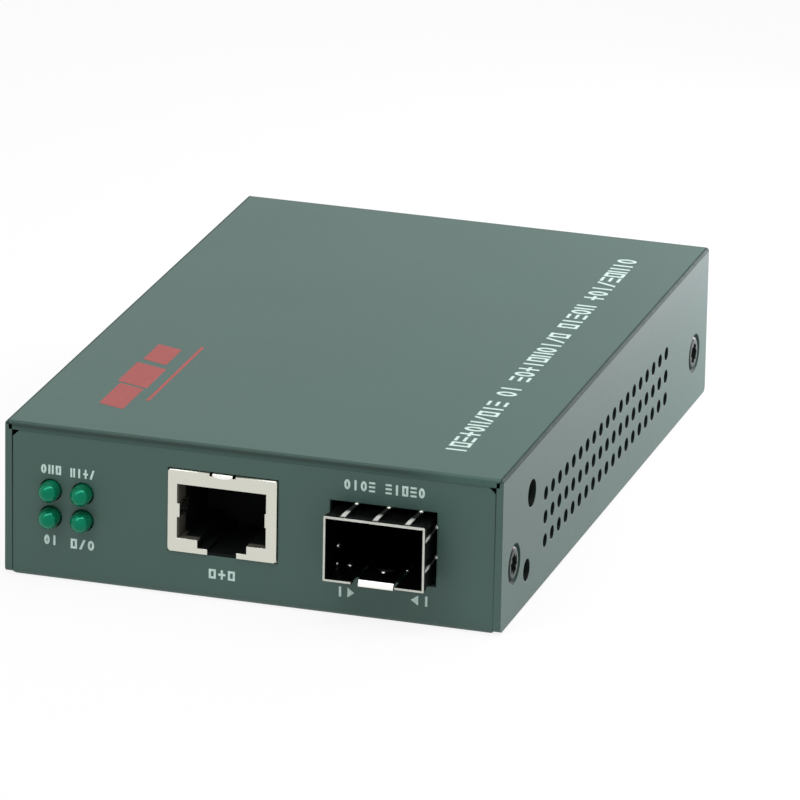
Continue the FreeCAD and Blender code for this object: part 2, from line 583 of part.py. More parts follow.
def lamp_holder():
    """Moulded block that holds the four lamps at their height behind the panel."""
    x0, x1 = LAMP_XS[0] - 2.3, LAMP_XS[1] + 2.3
    rear = HOLDER_FRONT + HOLDER_DEEP
    holder = block(x0, x1, HOLDER_FRONT, rear, BOARD_TOP, LAMP_ZS[1] + 2.3)
    places = [(x, rear + 1, z) for x in LAMP_XS for z in LAMP_ZS]
    return holder.cut([peg(LAMP_R, HOLDER_DEEP + 2, LAMP_SIDES, place, -Y_AXIS) for place in places])


# ================================================================ DC inlet
def jack_tails():
    """Solder tails of the inlet's pin and spring."""
    return [pin(JACK_X, JACK_BACK - JACK_STRIP / 2, JACK_TAIL_WIDE, JACK_STRIP),
            pin(JACK_X, JACK_SPRING_Y, JACK_TAIL_WIDE, JACK_STRIP)]


def dc_jack_body():
    """Moulded inlet body with its round socket towards the rear."""
    body = block(JACK_X - JACK_HALF, JACK_X + JACK_HALF, JACK_BACK, JACK_REAR, BOARD_TOP, JACK_TOP)
    step = block(JACK_X - JACK_HALF - 1, JACK_X + JACK_HALF + 1, JACK_BACK - 1, JACK_REAR - 4.0,
                 JACK_TOP - 2.4, JACK_TOP + 1)
    start, end = (JACK_X, JACK_BACK - 1, JACK_AXIS_Z), (JACK_X, JACK_REAR, JACK_AXIS_Z)
    tube = turned([(JACK_HALF - 0.1, 0.3), (JACK_HALF - 0.1, JACK_DEEP - 0.3)], JACK_SIDES, end, -Y_AXIS)
    body = fuse([body.cut(step), tube])
    socket = turned([(JACK_BORE_R, -1), (JACK_BORE_R, JACK_BORE_DEEP)], JACK_SIDES, end, -Y_AXIS)
    seat = peg(JACK_PIN_R, JACK_DEEP, JACK_PIN_SIDES, start, Y_AXIS)
    return body.cut([socket, seat, dc_jack_spring()])


def dc_jack_pin():
    """Centre pin of the inlet, with the strap behind the body that carries it to the board."""
    length, tip = JACK_DEEP - 1.2, 0.4
    profile = [(JACK_PIN_R, 0), (JACK_PIN_R, length - tip), (JACK_PIN_R - tip, length)]
    shaft = turned(profile, JACK_PIN_SIDES, (JACK_X, JACK_BACK, JACK_AXIS_Z), Y_AXIS)
    strap = block(JACK_X - JACK_TAIL_WIDE / 2, JACK_X + JACK_TAIL_WIDE / 2, JACK_BACK - JACK_STRIP,
                  JACK_BACK, BOARD_BOTTOM - TAIL, JACK_AXIS_Z + 1.4)
    return fuse([shaft, strap])


def dc_jack_spring():
    """Leaf contact that rises through the body's floor into the socket."""
    low = JACK_AXIS_Z - JACK_BORE_R
    path = [(JACK_SPRING_Y, BOARD_BOTTOM - TAIL), (JACK_SPRING_Y, low - 0.3),
            (JACK_SPRING_Y + 1.9, low + 0.35), (JACK_SPRING_Y + 4.1, low - 0.1)]
    return ribbon(path, JACK_STRIP, JACK_X - JACK_TAIL_WIDE / 2, JACK_X + JACK_TAIL_WIDE / 2)


# ================================================================ electronics on the board
def chip(x, y, wide, deep, tall, leads, pitch, four_sides):
    """Moulded chip with gull-wing leads along two sides, or along all four."""
    body = block(x - wide / 2, x + wide / 2, y - deep / 2, y + deep / 2, BOARD_TOP + 0.1, BOARD_TOP + tall)
    body = body.makeChamfer(0.2, [e for e in body.Edges if e.CenterOfMass.z > BOARD_TOP + tall - 0.01])
    shoulder = BOARD_TOP + tall / 2
    pieces = [body]
    for quarter in range(4 if four_sides else 2):
        side = quarter if four_sides else 2 * quarter
        half = deep / 2 if side % 2 == 0 else wide / 2
        path = [(half, shoulder), (half + 0.5, BOARD_TOP + 0.075), (half + 1.1, BOARD_TOP + 0.075)]
        for i in range(leads):
            across = (i - (leads - 1) / 2) * pitch
            lead = ribbon(path, 0.15, across - pitch * 0.22, across + pitch * 0.22)
            lead.rotate(V(0, 0, 0), Z_AXIS, 90 * side)
            lead.translate(V(x, y, 0))
            pieces.append(lead)
    return fuse(pieces)


def network_transformer():
    """Isolation transformer between the copper port and its chip."""
    return chip(PORT_X, FRONT + 26.0, 15.2, 9.2, 5.6, 6, 2.4, False)


def converter_chip():
    """Chip that turns copper frames into optical ones."""
    return chip(-4.0, -6.0, 14.0, 14.0, 1.5, 5, 2.4, True)


def line_chip():
    """Leadless chip that drives the module's optical line."""
    x, y, half, tall = 19.0, 4.0, 5.0, 1.2
    body = block(x - half, x + half, y - half, y + half, BOARD_TOP, BOARD_TOP + tall)
    return body.makeChamfer(0.2, [e for e in body.Edges if e.CenterOfMass.z > BOARD_TOP + tall - 0.01])


def memory_chip():
    """Small settings memory."""
    return chip(6.0, 12.0, 4.9, 3.9, 1.6, 4, 1.27, False)


def crystal_legs():
    """Two legs under the crystal can."""
    return [pin(CRYSTAL_XY[0] + side * 2.44, CRYSTAL_XY[1], 0.45, 0.45, BOARD_TOP) for side in (-1, 1)]


def crystal():
    """Timing crystal in an oval drawn can."""
    x, y = CRYSTAL_XY
    flange = BOARD_TOP + 0.4
    can = block(x - 5.1, x + 5.1, y - 1.9, y + 1.9, flange, flange + 3.1)
    foot = block(x - 5.6, x + 5.6, y - 2.3, y + 2.3, BOARD_TOP, flange)
    ends = [piece.makeChamfer(1.3, edges_along(piece, Z_AXIS, lambda p: True)) for piece in (can, foot)]
    return fuse(ends + crystal_legs())


def power_regulator():
    """Regulator with its cooling tab soldered flat to the board."""
    x, y = 14.0, 26.0
    body = block(x - 3.3, x + 3.3, y - 3.0, y + 3.0, BOARD_TOP + 0.3, BOARD_TOP + 2.3)
    body = body.makeChamfer(0.3, [e for e in body.Edges if e.CenterOfMass.z > BOARD_TOP + 2.29])
    tab = block(x - 2.7, x + 2.7, y - 2.2, y + 4.2, BOARD_TOP, BOARD_TOP + 0.5)
    leg_path = [(-3.0, 1.2), (-3.6, 1.2), (-4.0, 0.25), (-5.4, 0.25)]
    legs = [ribbon(leg_path, 0.5, side * 2.3 - 0.4, side * 2.3 + 0.4) for side in (-1, 1)]
    for leg in legs:
        leg.translate(V(x, y, BOARD_TOP))
    return fuse([body, tab] + legs)


def power_inductor():
    """Shielded choke: square base with clipped corners and a round cap."""
    x, y = -4.0, 28.0
    base = block(x - 5.0, x + 5.0, y - 5.0, y + 5.0, BOARD_TOP, BOARD_TOP + 4.0)
    base = base.makeChamfer(1.6, edges_along(base, Z_AXIS, lambda p: True))
    outer = peg(4.3, 2, CAN_SIDES, (x, y, BOARD_TOP + 3.6), Z_AXIS)
    return base.cut(outer.cut(peg(3.9, 3, CAN_SIDES, (x, y, BOARD_TOP + 3.5), Z_AXIS)))


def capacitor_legs():
    """Two legs under each capacitor can."""
    return [pin(x + side * CAN_LEG, y, 0.6, 0.6) for x, y in CAPACITOR_XY for side in (-1, 1)]


def smoothing_capacitors():
    """Three electrolytic cans with bevelled tops."""
    bevel = 0.5
    profile = [(CAN_R, 0), (CAN_R, CAN_TALL - bevel), (CAN_R - bevel, CAN_TALL)]
    cans = []
    for x, y in CAPACITOR_XY:
        legs = [pin(x + side * CAN_LEG, y, 0.6, 0.6) for side in (-1, 1)]
        cans.append(fuse([turned(profile, CAN_SIDES, (x, y, BOARD_TOP), Z_AXIS)] + legs))
    return group(cans)


def chip_resistors():
    """Rows of small resistors and capacitors round the two larger chips."""
    places = [(-15.5, -14 + 3 * i) for i in range(6)] + [(8.0, -14 + 3 * i) for i in range(6)]
    places += [(14 + 2.4 * i, 13.0) for i in range(4)]
    return group([block(x - 0.8, x + 0.8, y - 0.4, y + 0.4, BOARD_TOP, BOARD_TOP + 0.45) for x, y in places])


# ================================================================ writing the files
def lamps():
    """The four lamps by name."""
    names = {("left", "lower"): 0, ("left", "upper"): 1, ("right", "lower"): 2, ("right", "upper"): 3}
    places = [(x, z) for x in LAMP_XS for z in LAMP_ZS]
    return {f"lamp_{height}_{side}": lamp(*places[i]) for (side, height), i in names.items()}


def build():
    """Every piece by node name."""
    makers = [top_cover, base_tray, cover_screws, board_standoffs, board_screws, circuit_board,
              copper_port_shield, copper_port_body, copper_port_contacts, module_cage, cage_ground_fingers,
              module_connector, module_connector_contacts, lamp_holder, lamp_leads, dc_jack_body,
              dc_jack_pin, dc_jack_spring, network_transformer, converter_chip, line_chip, memory_chip,
              crystal, power_regulator, power_inductor, smoothing_capacitors, chip_resistors]
    pieces = {maker.__name__: maker() for maker in makers}
    pieces.update(lamps())
    return pieces


def main():
    """Write one STEP file per piece."""
    os.makedirs("parts", exist_ok=True)
    for name, shape in build().items():
        solids = shape.Solids
        whole = all(solid.isValid() for solid in solids)
        print(f"{name:28s} solids {len(solids):3d}  valid {whole}  {shape.Volume / 1000:8.3f} cm3")
        shape.exportStep(f"parts/{name}.step")


if __name__ == "__main__":
    main()
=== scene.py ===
# %% [markdown]
# # A fibre media converter
#
# The object is a small steel case that joins a copper network cable to a pluggable fibre module. Its solid
# pieces are already modelled to size, and this lesson dresses them: it gives every surface a finish, and
# remodels the pieces that a close look shows, such as the folded cover, the lamps, the screws and the
# spring fingers.
#
# Everything is in metres. X runs to the right as seen from the front, Y from the front to the rear, and Z
# up.

# %% Load the solid model
import math

import bmesh
import bpy
from mathutils import Matrix, Vector


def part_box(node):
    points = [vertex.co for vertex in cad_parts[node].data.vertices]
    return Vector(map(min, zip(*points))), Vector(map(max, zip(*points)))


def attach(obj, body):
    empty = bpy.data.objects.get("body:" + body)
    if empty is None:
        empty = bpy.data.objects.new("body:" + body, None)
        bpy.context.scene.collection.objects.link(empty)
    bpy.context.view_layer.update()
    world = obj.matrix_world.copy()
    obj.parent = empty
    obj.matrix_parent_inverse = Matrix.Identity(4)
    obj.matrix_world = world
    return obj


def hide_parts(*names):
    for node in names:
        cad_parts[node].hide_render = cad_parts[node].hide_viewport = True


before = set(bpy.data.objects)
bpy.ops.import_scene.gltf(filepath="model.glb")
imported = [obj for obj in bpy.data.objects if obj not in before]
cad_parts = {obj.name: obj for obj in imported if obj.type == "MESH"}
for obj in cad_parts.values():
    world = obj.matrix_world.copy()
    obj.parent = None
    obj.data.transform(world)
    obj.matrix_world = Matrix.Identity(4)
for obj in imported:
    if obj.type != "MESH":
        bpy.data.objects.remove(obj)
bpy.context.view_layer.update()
MM = 0.001
case_low, case_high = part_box("top_cover")

# %% [markdown]
# ## Camera
#
# A long lens stands about a metre away, to the right of the front and above it, so that the front, the top
# and the right-hand side all show. Its three axes are worked out from an azimuth, an elevation and a small
# roll.

# %% Place the camera
AZIMUTH, ELEVATION, ROLL = math.radians(16.83), math.radians(19.40), math.radians(1.08)
DISTANCE, LENS = 1.15049, 358.21
AIM = Vector((0.00485, 0.0, 0.01297))
scene = bpy.context.scene


def new_object(name, data):
    """New object in the scene."""
    thing = bpy.data.objects.new(name, data)
    scene.collection.objects.link(thing)
    return thing


back = Vector((math.sin(AZIMUTH) * math.cos(ELEVATION), -math.cos(AZIMUTH) * math.cos(ELEVATION),
               math.sin(ELEVATION)))
level = Vector((math.cos(AZIMUTH), math.sin(AZIMUTH), 0.0))
upright = back.cross(level)
right = level * math.cos(ROLL) + upright * math.sin(ROLL)
up = upright * math.cos(ROLL) - level * math.sin(ROLL)
camera = new_object("camera", bpy.data.cameras.new("camera"))
camera.data.lens = LENS
camera.matrix_world = Matrix((right, up, back)).transposed().to_4x4()
camera.location = AIM + back * DISTANCE
scene.camera = camera
scene.view_settings.view_transform = "Standard"
print("camera at", [round(v, 3) for v in camera.location])

# %% [markdown]
# ## Light and backdrop
#
# The case stands in an even, pale studio. A long soft lamp hangs above it, a small and slightly pink one
# stands low behind its right side, and the world fills in the rest. The backdrop is white where the camera
# or a reflection sees it, while the light that reaches a matt surface from it is weaker. That keeps the
# paint's own colour.

# %% Make the world
FILL = 0.47
WHITE = (1.0, 1.0, 1.0)


def add_node(tree, kind, **values):
    """New node whose inputs get these values; an underscore in a name stands for a space."""
    return set_inputs(tree.nodes.new("ShaderNode" + kind), **values)


def set_inputs(node, **values):
    """Set a node's inputs by their names."""
    for name, value in values.items():
        node.inputs[name.replace("_", " ")].default_value = value
    return node


def pick(tree, operation, first, *others):
    """The largest of several factors with MAXIMUM, or the smallest with MINIMUM."""
    for other in others:
        node = add_node(tree, "Math")
        node.operation = operation
        tree.links.new(first, node.inputs[0])
        tree.links.new(other, node.inputs[1])
        first = node.outputs[0]
    return first


def split_backdrop(tree, seen, lit, out_socket):
    """Use one shader for camera, glossy and transmission rays, and another for all others."""
    ray = add_node(tree, "LightPath").outputs
    mix = add_node(tree, "MixShader")
    direct = pick(tree, "MAXIMUM", ray["Is Camera Ray"], ray["Is Glossy Ray"], ray["Is Transmission Ray"])
    tree.links.new(direct, mix.inputs[0])
    tree.links.new(lit, mix.inputs[1])
    tree.links.new(seen, mix.inputs[2])
    tree.links.new(mix.outputs[0], out_socket)


world = bpy.data.worlds.new("studio")
scene.world = world
world.use_nodes = True
world_tree = world.node_tree
dim = set_inputs(world_tree.nodes["Background"], Color=(*WHITE, 1.0), Strength=FILL)
white = add_node(world_tree, "Background", Color=(*WHITE, 1.0), Strength=1.0)
world_out = world_tree.nodes["World Output"].inputs["Surface"]
split_backdrop(world_tree, white.outputs[0], dim.outputs[0], world_out)
print("world:", world.name, "with a fill of", FILL)


# %% Hang the lamps



def soft_lamp(name, place, aim, size, watts, colour=WHITE):
    """Area lamp of this width and depth that points at a spot."""
    data = bpy.data.lights.new(name, "AREA")
    data.shape = "RECTANGLE"
    data.size, data.size_y = size
    data.energy = watts
    data.color = colour
    lamp = new_object(name, data)
    lamp.location = place
    lamp.rotation_euler = (Vector(place) - Vector(aim)).to_track_quat("Z", "Y").to_euler()


soft_lamp("lamp_above", place=(0.10, -0.13, 0.50), aim=(0.0, 0.0, 0.0), size=(1.60, 0.16), watts=3.88)
soft_lamp("lamp_right", place=(0.105, 0.155, 0.045), aim=(0.03, 0.03, 0.01), size=(0.10, 0.05), watts=0.42,
          colour=(1.0, 0.86, 0.94))

# %% [markdown]
# ## Tools for finishes
#
# Every finish starts from one shader and gets its life from noise: a fine one that stirs the surface
# height, and a broad one that shifts the colour or the gloss a little. Noise is read in the object's own
# coordinates, so it stays on the piece. A small rounding of the normals makes sharp sheet edges catch the
# light as real ones do. All lengths that these helpers take are in millimetres.

# %% Helpers for noise and relief
SHADER = "Principled BSDF"
MIDDLE = (0.3, 0.7)                     # most of a noise lies between these


def noise_at(tree, size, detail=2.0, stretch=(1.0, 1.0, 1.0)):
    """Noise whose lumps are about this size; a stretch above 1 makes them shorter along that axis."""
    turn = add_node(tree, "Mapping", Scale=stretch)
    noise = add_node(tree, "TexNoise", Scale=1.0 / (size * MM), Detail=detail)
    tree.links.new(add_node(tree, "TexCoord").outputs["Object"], turn.inputs["Vector"])
    tree.links.new(turn.outputs["Vector"], noise.inputs["Vector"])
    return noise.outputs["Fac"]


def gloss_by(tree, factor, low, high):
    """Spread the middle of a factor over a range of roughness."""
    spread = add_node(tree, "MapRange", From_Min=MIDDLE[0], From_Max=MIDDLE[1], To_Min=low, To_Max=high)
    tree.links.new(factor, spread.inputs["Value"])
    tree.links.new(spread.outputs["Result"], tree.nodes[SHADER].inputs["Roughness"])


def colour_by(tree, factor, dark, light, low=0.0, high=1.0):
    """Colour a finish by a factor, from dark at low to light at high."""
    ramp = add_node(tree, "ValToRGB")
    for stop, place, colour in zip(ramp.color_ramp.elements, (low, high), (dark, light)):
        stop.position = place
        stop.color = (*colour, 1.0)
    tree.links.new(factor, ramp.inputs["Fac"])
    tree.links.new(ramp.outputs["Color"], tree.nodes[SHADER].inputs["Base Color"])


def relief(tree, height, depth, edge):
    """Surface relief of this depth from a height factor, on top of slightly rounded edges."""
    soft = add_node(tree, "Bevel", Radius=edge * MM)
    soft.samples = 4
    bump = add_node(tree, "Bump", Strength=1.0, Distance=depth * MM)
    tree.links.new(height, bump.inputs["Height"])
    tree.links.new(soft.outputs["Normal"], bump.inputs["Normal"])
    tree.links.new(bump.outputs["Normal"], tree.nodes[SHADER].inputs["Normal"])


def axis_ramp(tree, axis, start, end):
    """Factor that runs from 0 to 1 between two places along an axis of the object."""
    axes = add_node(tree, "SeparateXYZ")
    tree.links.new(add_node(tree, "TexCoord").outputs["Object"], axes.inputs[0])
    ramp = add_node(tree, "MapRange", From_Min=start * MM, From_Max=end * MM)
    tree.links.new(axes.outputs[axis], ramp.inputs["Value"])
    return ramp.outputs["Result"]


print("noise and relief helpers ready")

# %% [markdown]
# One function then makes a whole finish. Each of its three effects ends with the size of its noise, and now
# and then with the noise's detail and stretch as well.


# %% Helper for a whole finish
def finish(name, colour, roughness, metallic=0.0, specular=0.5, mottle=None, gloss=None, grain=None):
    """New material; mottle is (share, noise), gloss (low, high, noise) and grain (depth, edge, noise)."""
    material = bpy.data.materials.new(name)
    material.use_nodes = True
    tree = material.node_tree
    set_inputs(tree.nodes[SHADER], Base_Color=(*colour, 1.0), Roughness=roughness, Metallic=metallic,
               Specular_IOR_Level=specular)
    if mottle:
        share, *lumps = mottle
        dark, light = [c * (1 - share) for c in colour], [c * (1 + share) for c in colour]
        colour_by(tree, noise_at(tree, *lumps), dark, light, *MIDDLE)
    if gloss:
        low, high, *lumps = gloss
        gloss_by(tree, noise_at(tree, *lumps), low, high)
    if grain:
        depth, edge, *lumps = grain
        relief(tree, noise_at(tree, *lumps), depth, edge)
    return material


print("finish helper ready")

# %% [markdown]
# ## Floor
#
# A wide pale plane carries the case. It glows white to the camera, and a small share of plain matt white
# keeps a faint shadow where the case stands on it. It lies a hair lower than the case, so that the two
# don't flicker.

# %% Lay the floor
SHADOW_SHARE, MATT_WHITE = 0.12, 0.85
FLOOR_SIZE, FLOOR_DROP = 6.0, 0.02 * MM
floor_mesh = bpy.data.meshes.new("floor")
bm = bmesh.new()
bmesh.ops.create_grid(bm, x_segments=1, y_segments=1, size=FLOOR_SIZE)
bmesh.ops.translate(bm, vec=(0.0, 0.0, -FLOOR_DROP), verts=bm.verts)
bm.to_mesh(floor_mesh)
bm.free()
floor = new_object("floor", floor_mesh)
floor_paint = finish("floor_white", (MATT_WHITE, MATT_WHITE, MATT_WHITE), 1.0, specular=0.0)
tree = floor_paint.node_tree
matt = tree.nodes[SHADER].outputs[0]
glow = add_node(tree, "Emission", Strength=1.0)
mix = add_node(tree, "MixShader", Fac=SHADOW_SHARE)
tree.links.new(glow.outputs[0], mix.inputs[1])
tree.links.new(matt, mix.inputs[2])
split_backdrop(tree, mix.outputs[0], matt, tree.nodes["Material Output"].inputs["Surface"])
floor_mesh.materials.append(floor_paint)
print("floor laid,", 2 * FLOOR_SIZE, "m wide")

# %% [markdown]
# ## Powder coat
#
# The cover and the tray carry one grey-green powder coat. Powder melts into a skin with a fine, pebbled
# surface and a low sheen, so the relief is a dense noise of a few tenths of a millimetre, and the gloss
# wanders slightly.

# %% Case paint
PAINT = (0.044, 0.095, 0.080)
COAT_GLOSS, COAT_GRAIN = (0.495, 0.515, 1.2), (0.0016, 0.2, 0.28)
THIN_GRAIN = (0.006, 0.05, 0.28)
paint = finish("case_paint", PAINT, 0.50, mottle=(0.03, 20.0), gloss=COAT_GLOSS, grain=COAT_GRAIN)
print("made", paint.name)

# %% [markdown]
# The sheet's cut front edge is darkened with painted shade: darkest down at the seam over the panel, and
# fading out towards the right-hand end. The folds along the sides and the sinks round the screws are matt and
# darkened with painted shade too. Inside the case the coat is painted darker still, as painted shade. The
# tray keeps the paint outside and the same painted shade inside, and its mask is how far a point lies behind
# the faces of the case.

# %% Painted shade on the coat
EDGE_SHADE, INSIDE_SHADE = (0.021, 0.043, 0.036), (0.006, 0.012, 0.010)
FOLD_SHADE = [c * 0.50 for c in PAINT]

# Painted shade: the cut front edge is darkest at the seam over the panel, and fades to the paint above and
# below it and towards the right.
cut_edge = finish("cut_edge_shade", EDGE_SHADE, 0.5, specular=0.3, gloss=(0.44, 0.58, 1.0), grain=THIN_GRAIN)
tree = cut_edge.node_tree
seam_shade_mask = pick(tree, "MAXIMUM", axis_ramp(tree, "Z", 22.4, 23.3), axis_ramp(tree, "X", 21.0, 29.0),
             axis_ramp(tree, "Z", 22.3, 21.7))
colour_by(tree, seam_shade_mask, EDGE_SHADE, PAINT)

# Painted shade on the folds along the sides and in the sinks round the screws.
fold_shade = finish("fold_shade", FOLD_SHADE, 0.7, specular=0.1, mottle=(0.03, 20.0),
                    gloss=(0.66, 0.74, 1.2), grain=COAT_GRAIN)
# Painted shade inside the case and on the walls of the holes.
inside_shade = finish("inside_shade", INSIDE_SHADE, 0.6, specular=0.2, mottle=(0.15, 6.0, 3.0),
                      gloss=(0.55, 0.68, 1.0), grain=THIN_GRAIN)

tray_paint_and_shade = finish("tray_paint_and_shade", PAINT, 0.50, gloss=COAT_GLOSS, grain=COAT_GRAIN)
tree = tray_paint_and_shade.node_tree
tray_low, tray_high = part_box("base_tray")
front, rear, under = tray_low.y / MM, tray_high.y / MM, tray_low.z / MM
# The tray keeps the paint outside, and inside it is coloured nearly black as painted shade.
outside = pick(tree, "MAXIMUM", axis_ramp(tree, "Y", front + 1.2, front + 0.8),
               axis_ramp(tree, "Y", rear - 1.2, rear - 0.8), axis_ramp(tree, "Z", under + 0.6, under + 0.2))
colour_by(tree, outside, INSIDE_SHADE, PAINT)
print("made", cut_edge.name, fold_shade.name, inside_shade.name, tray_paint_and_shade.name)

# %% [markdown]
# ## Metals
#
# The port's shell is bright tinned sheet, which mirrors the pale room softly. The module cage is nickel,
# coloured almost black inside and along its sides as painted shade, while its front edge keeps a bright metal
# colour and its lip is polished, so it gets three finishes.

# %% Port shell and cage
TINNED, NICKEL_SHADE = (0.66, 0.66, 0.585), (0.012, 0.012, 0.012)
BRIGHT, POLISHED = (0.54, 0.56, 0.50), (0.95, 0.95, 0.91)
tinned = finish("tinned_sheet", TINNED, 0.30, metallic=1.0, gloss=(0.24, 0.38, 1.0, 2.0, (1.0, 1.0, 6.0)),
                grain=(0.003, 0.12, 0.6, 2.0, (1.0, 1.0, 5.0)))
# The cage's nickel is coloured almost black: painted shade inside and along its sides.
cage_metal = finish("cage_nickel", NICKEL_SHADE, 0.45, metallic=1.0, mottle=(0.4, 1.0),
                    gloss=(0.38, 0.52, 0.8), grain=(0.003, 0.12, 0.5))
bright_edge = finish("bright_edge", BRIGHT, 0.3, metallic=1.0, mottle=(0.08, 1.2),
                     gloss=(0.24, 0.38, 0.5), grain=(0.002, 0.03, 0.4))
polished_lip = finish("polished_lip", POLISHED, 0.35, metallic=1.0, mottle=(0.03, 1.2),
                      gloss=(0.30, 0.42, 0.5), grain=(0.001, 0.03, 0.4))
print("made", tinned.name, cage_metal.name, bright_edge.name, polished_lip.name)

# %% [markdown]
# The spring fingers carry painted highlights where they leave the clip and at the bend that touches the
# panel, and painted shade between. A colour ramp along the depth of the case gives them these bands, and the
# clip under them stays dark with the cage's painted shade.

# %% Fingers with painted highlights on their bends
FINGER_HIGHLIGHT, FINGER_SHADE = (0.80, 0.80, 0.76), (0.012, 0.012, 0.012)
FINGER_REACH = 6.0
FINGER_LIGHT_BANDS = ((0.06, FINGER_SHADE), (0.12, FINGER_HIGHLIGHT), (0.28, FINGER_HIGHLIGHT), (0.40, FINGER_SHADE),
                (0.70, FINGER_SHADE), (0.74, FINGER_HIGHLIGHT), (0.84, FINGER_HIGHLIGHT))
finger_metal = finish("finger_metal", FINGER_HIGHLIGHT, 0.28, metallic=0.5, gloss=(0.22, 0.36, 0.6),
                      grain=(0.002, 0.03, 0.4))
tree = finger_metal.node_tree
clip_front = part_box("cage_ground_fingers")[0].y / MM
# Painted highlights on the bends and painted shade between them, along the depth of the case.
light_bands = add_node(tree, "ValToRGB")
for spot, shade in FINGER_LIGHT_BANDS:
    light_bands.color_ramp.elements.new(spot).color = (*shade, 1.0)
for end in (0, -1):
    light_bands.color_ramp.elements[end].color = (*FINGER_SHADE, 1.0)
tree.links.new(axis_ramp(tree, "Y", clip_front, clip_front + FINGER_REACH), light_bands.inputs["Fac"])
tree.links.new(light_bands.outputs["Color"], tree.nodes[SHADER].inputs["Base Color"])
print("made", finger_metal.name, "with", len(light_bands.color_ramp.elements), "colour stops")

# %% [markdown]
# The small metal parts need no more than a colour, a gloss and a grain. The screws are blackened and
# lightly painted over, so they count as no metal: their faces are dull, and their recesses and the shaded
# sides of their rims are darkened with painted shade.

# %% Small metal
GOLD, LEAD, ZINC = (0.72, 0.50, 0.20), (0.55, 0.55, 0.52), (0.42, 0.43, 0.41)
SCREW_PAINT, SCREW_SHADE = (0.036, 0.058, 0.049), (0.010, 0.014, 0.013)
gold = finish("contact_gold", GOLD, 0.25, metallic=1.0, gloss=(0.18, 0.34, 0.5), grain=(0.002, 0.04, 0.3))
lead_tin = finish("lead_tin", LEAD, 0.4, metallic=1.0, gloss=(0.30, 0.50, 0.5), grain=(0.004, 0.05, 0.3))
zinc = finish("zinc_steel", ZINC, 0.38, metallic=1.0, gloss=(0.30, 0.46, 0.8, 3.0), grain=(0.004, 0.12, 0.4))
screw_finish = finish("screw_finish", SCREW_PAINT, 0.54, specular=0.3, gloss=(0.50, 0.58, 0.6, 3.0),
                      grain=(0.004, 0.1, 0.3))
# Painted shade for the screws' recesses and the front halves of their rims.
screw_shade = finish("screw_shade", SCREW_SHADE, 0.6, specular=0.1, gloss=(0.5, 0.7, 0.6, 3.0),
                    grain=(0.004, 0.03, 0.3))
print("made the small metals")

# %% [markdown]
# ## Mouldings, board and lamps
#
# Black mouldings are matt with a faint spark-eroded grain. Just inside the copper port's mouth, its left
# wall and the sills beside the latch slot are coloured grey as painted light, and the rest of the port's
# moulding is black, darker than the other mouldings as painted shade in its cavity. The board is green
# lacquer over woven glass. The lamps are unlit: a tinted clear resin that is deep green and shiny, a little
# paler where its body scatters light.

# %% Plastics and the board
# The port's black is darker than the other mouldings as painted shade in its cavity, and its grey is painted
# light.
BLACK, PORT_BLACK_SHADE, PORT_PAINTED_LIGHT = (0.012, 0.012, 0.012), (0.003, 0.004, 0.004), (0.085, 0.080, 0.068)
CHIP, CAN, BOARD = (0.022, 0.022, 0.024), (0.60, 0.60, 0.58), (0.016, 0.105, 0.045)
LENS_GREEN, LENS_DEEP, LENS_PALE = (0.0012, 0.170, 0.082), (0.0004, 0.112, 0.050), (0.001, 0.150, 0.070)
MOULD_GRAIN = (0.006, 0.12, 0.2)
moulding = finish("black_moulding", BLACK, 0.55, specular=0.2, gloss=(0.48, 0.64, 0.9), grain=MOULD_GRAIN)

port_moulding = finish("port_moulding", PORT_BLACK_SHADE, 0.6, specular=0.1, gloss=(0.52, 0.68, 0.9),
                       grain=MOULD_GRAIN)
tree = port_moulding.node_tree
port_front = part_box("copper_port_body")[0].y / MM
# Painted light: the left wall just inside the mouth and the sills beside the latch slot are coloured grey.
left_wall = pick(tree, "MINIMUM", axis_ramp(tree, "Y", port_front + 3.2, port_front + 2.6),
                 axis_ramp(tree, "X", -9.9, -10.1))
sills = pick(tree, "MINIMUM", axis_ramp(tree, "Y", port_front + 1.2, port_front + 0.8),
             axis_ramp(tree, "Z", 8.3, 8.5))
colour_by(tree, pick(tree, "MAXIMUM", left_wall, sills), PORT_BLACK_SHADE, PORT_PAINTED_LIGHT)

chip_resin = finish("chip_resin", CHIP, 0.5, specular=0.4, gloss=(0.42, 0.60, 1.0), grain=(0.005, 0.12, 0.15))
can_metal = finish("can_metal", CAN, 0.3, metallic=1.0, gloss=(0.22, 0.38, 2.0, 2.0, (1.0, 1.0, 4.0)),
                   grain=(0.003, 0.12, 0.6))
board_lacquer = finish("board_lacquer", BOARD, 0.3, mottle=(0.25, 0.9, 1.0, (1.0, 4.0, 1.0)),
                       gloss=(0.24, 0.38, 4.0), grain=(0.004, 0.12, 0.5, 1.0))

lens_resin = finish("lens_resin", LENS_GREEN, 0.14, specular=0.8, gloss=(0.12, 0.17, 0.8),
                    grain=(0.005, 0.03, 1.0, 1.0))
tree = lens_resin.node_tree
set_inputs(tree.nodes[SHADER], Specular_Tint=(0.10, 1.0, 0.66, 1.0))
colour_by(tree, noise_at(tree, 1.4, 1.0), LENS_DEEP, LENS_PALE, *MIDDLE)
print("made five plastics and the can metal")

# %% [markdown]
# ## Print
#
# Pale ink is screened on the front and the top, and red ink on the top. Ink lies on the grain of the coat,
# so its tone is a little uneven, and its gloss is lower than the paint's.

# %% Inks
INK, RED = (0.54, 0.70, 0.65), (0.29, 0.050, 0.045)
INK_MOTTLE, INK_GRAIN = (0.12, 0.4), (0.005, 0.02, 0.28)
pale_ink = finish("pale_ink", INK, 0.6, mottle=INK_MOTTLE, grain=INK_GRAIN)
red_ink = finish("red_ink", RED, 0.55, mottle=INK_MOTTLE, grain=INK_GRAIN)
print("made", pale_ink.name, "and", red_ink.name)

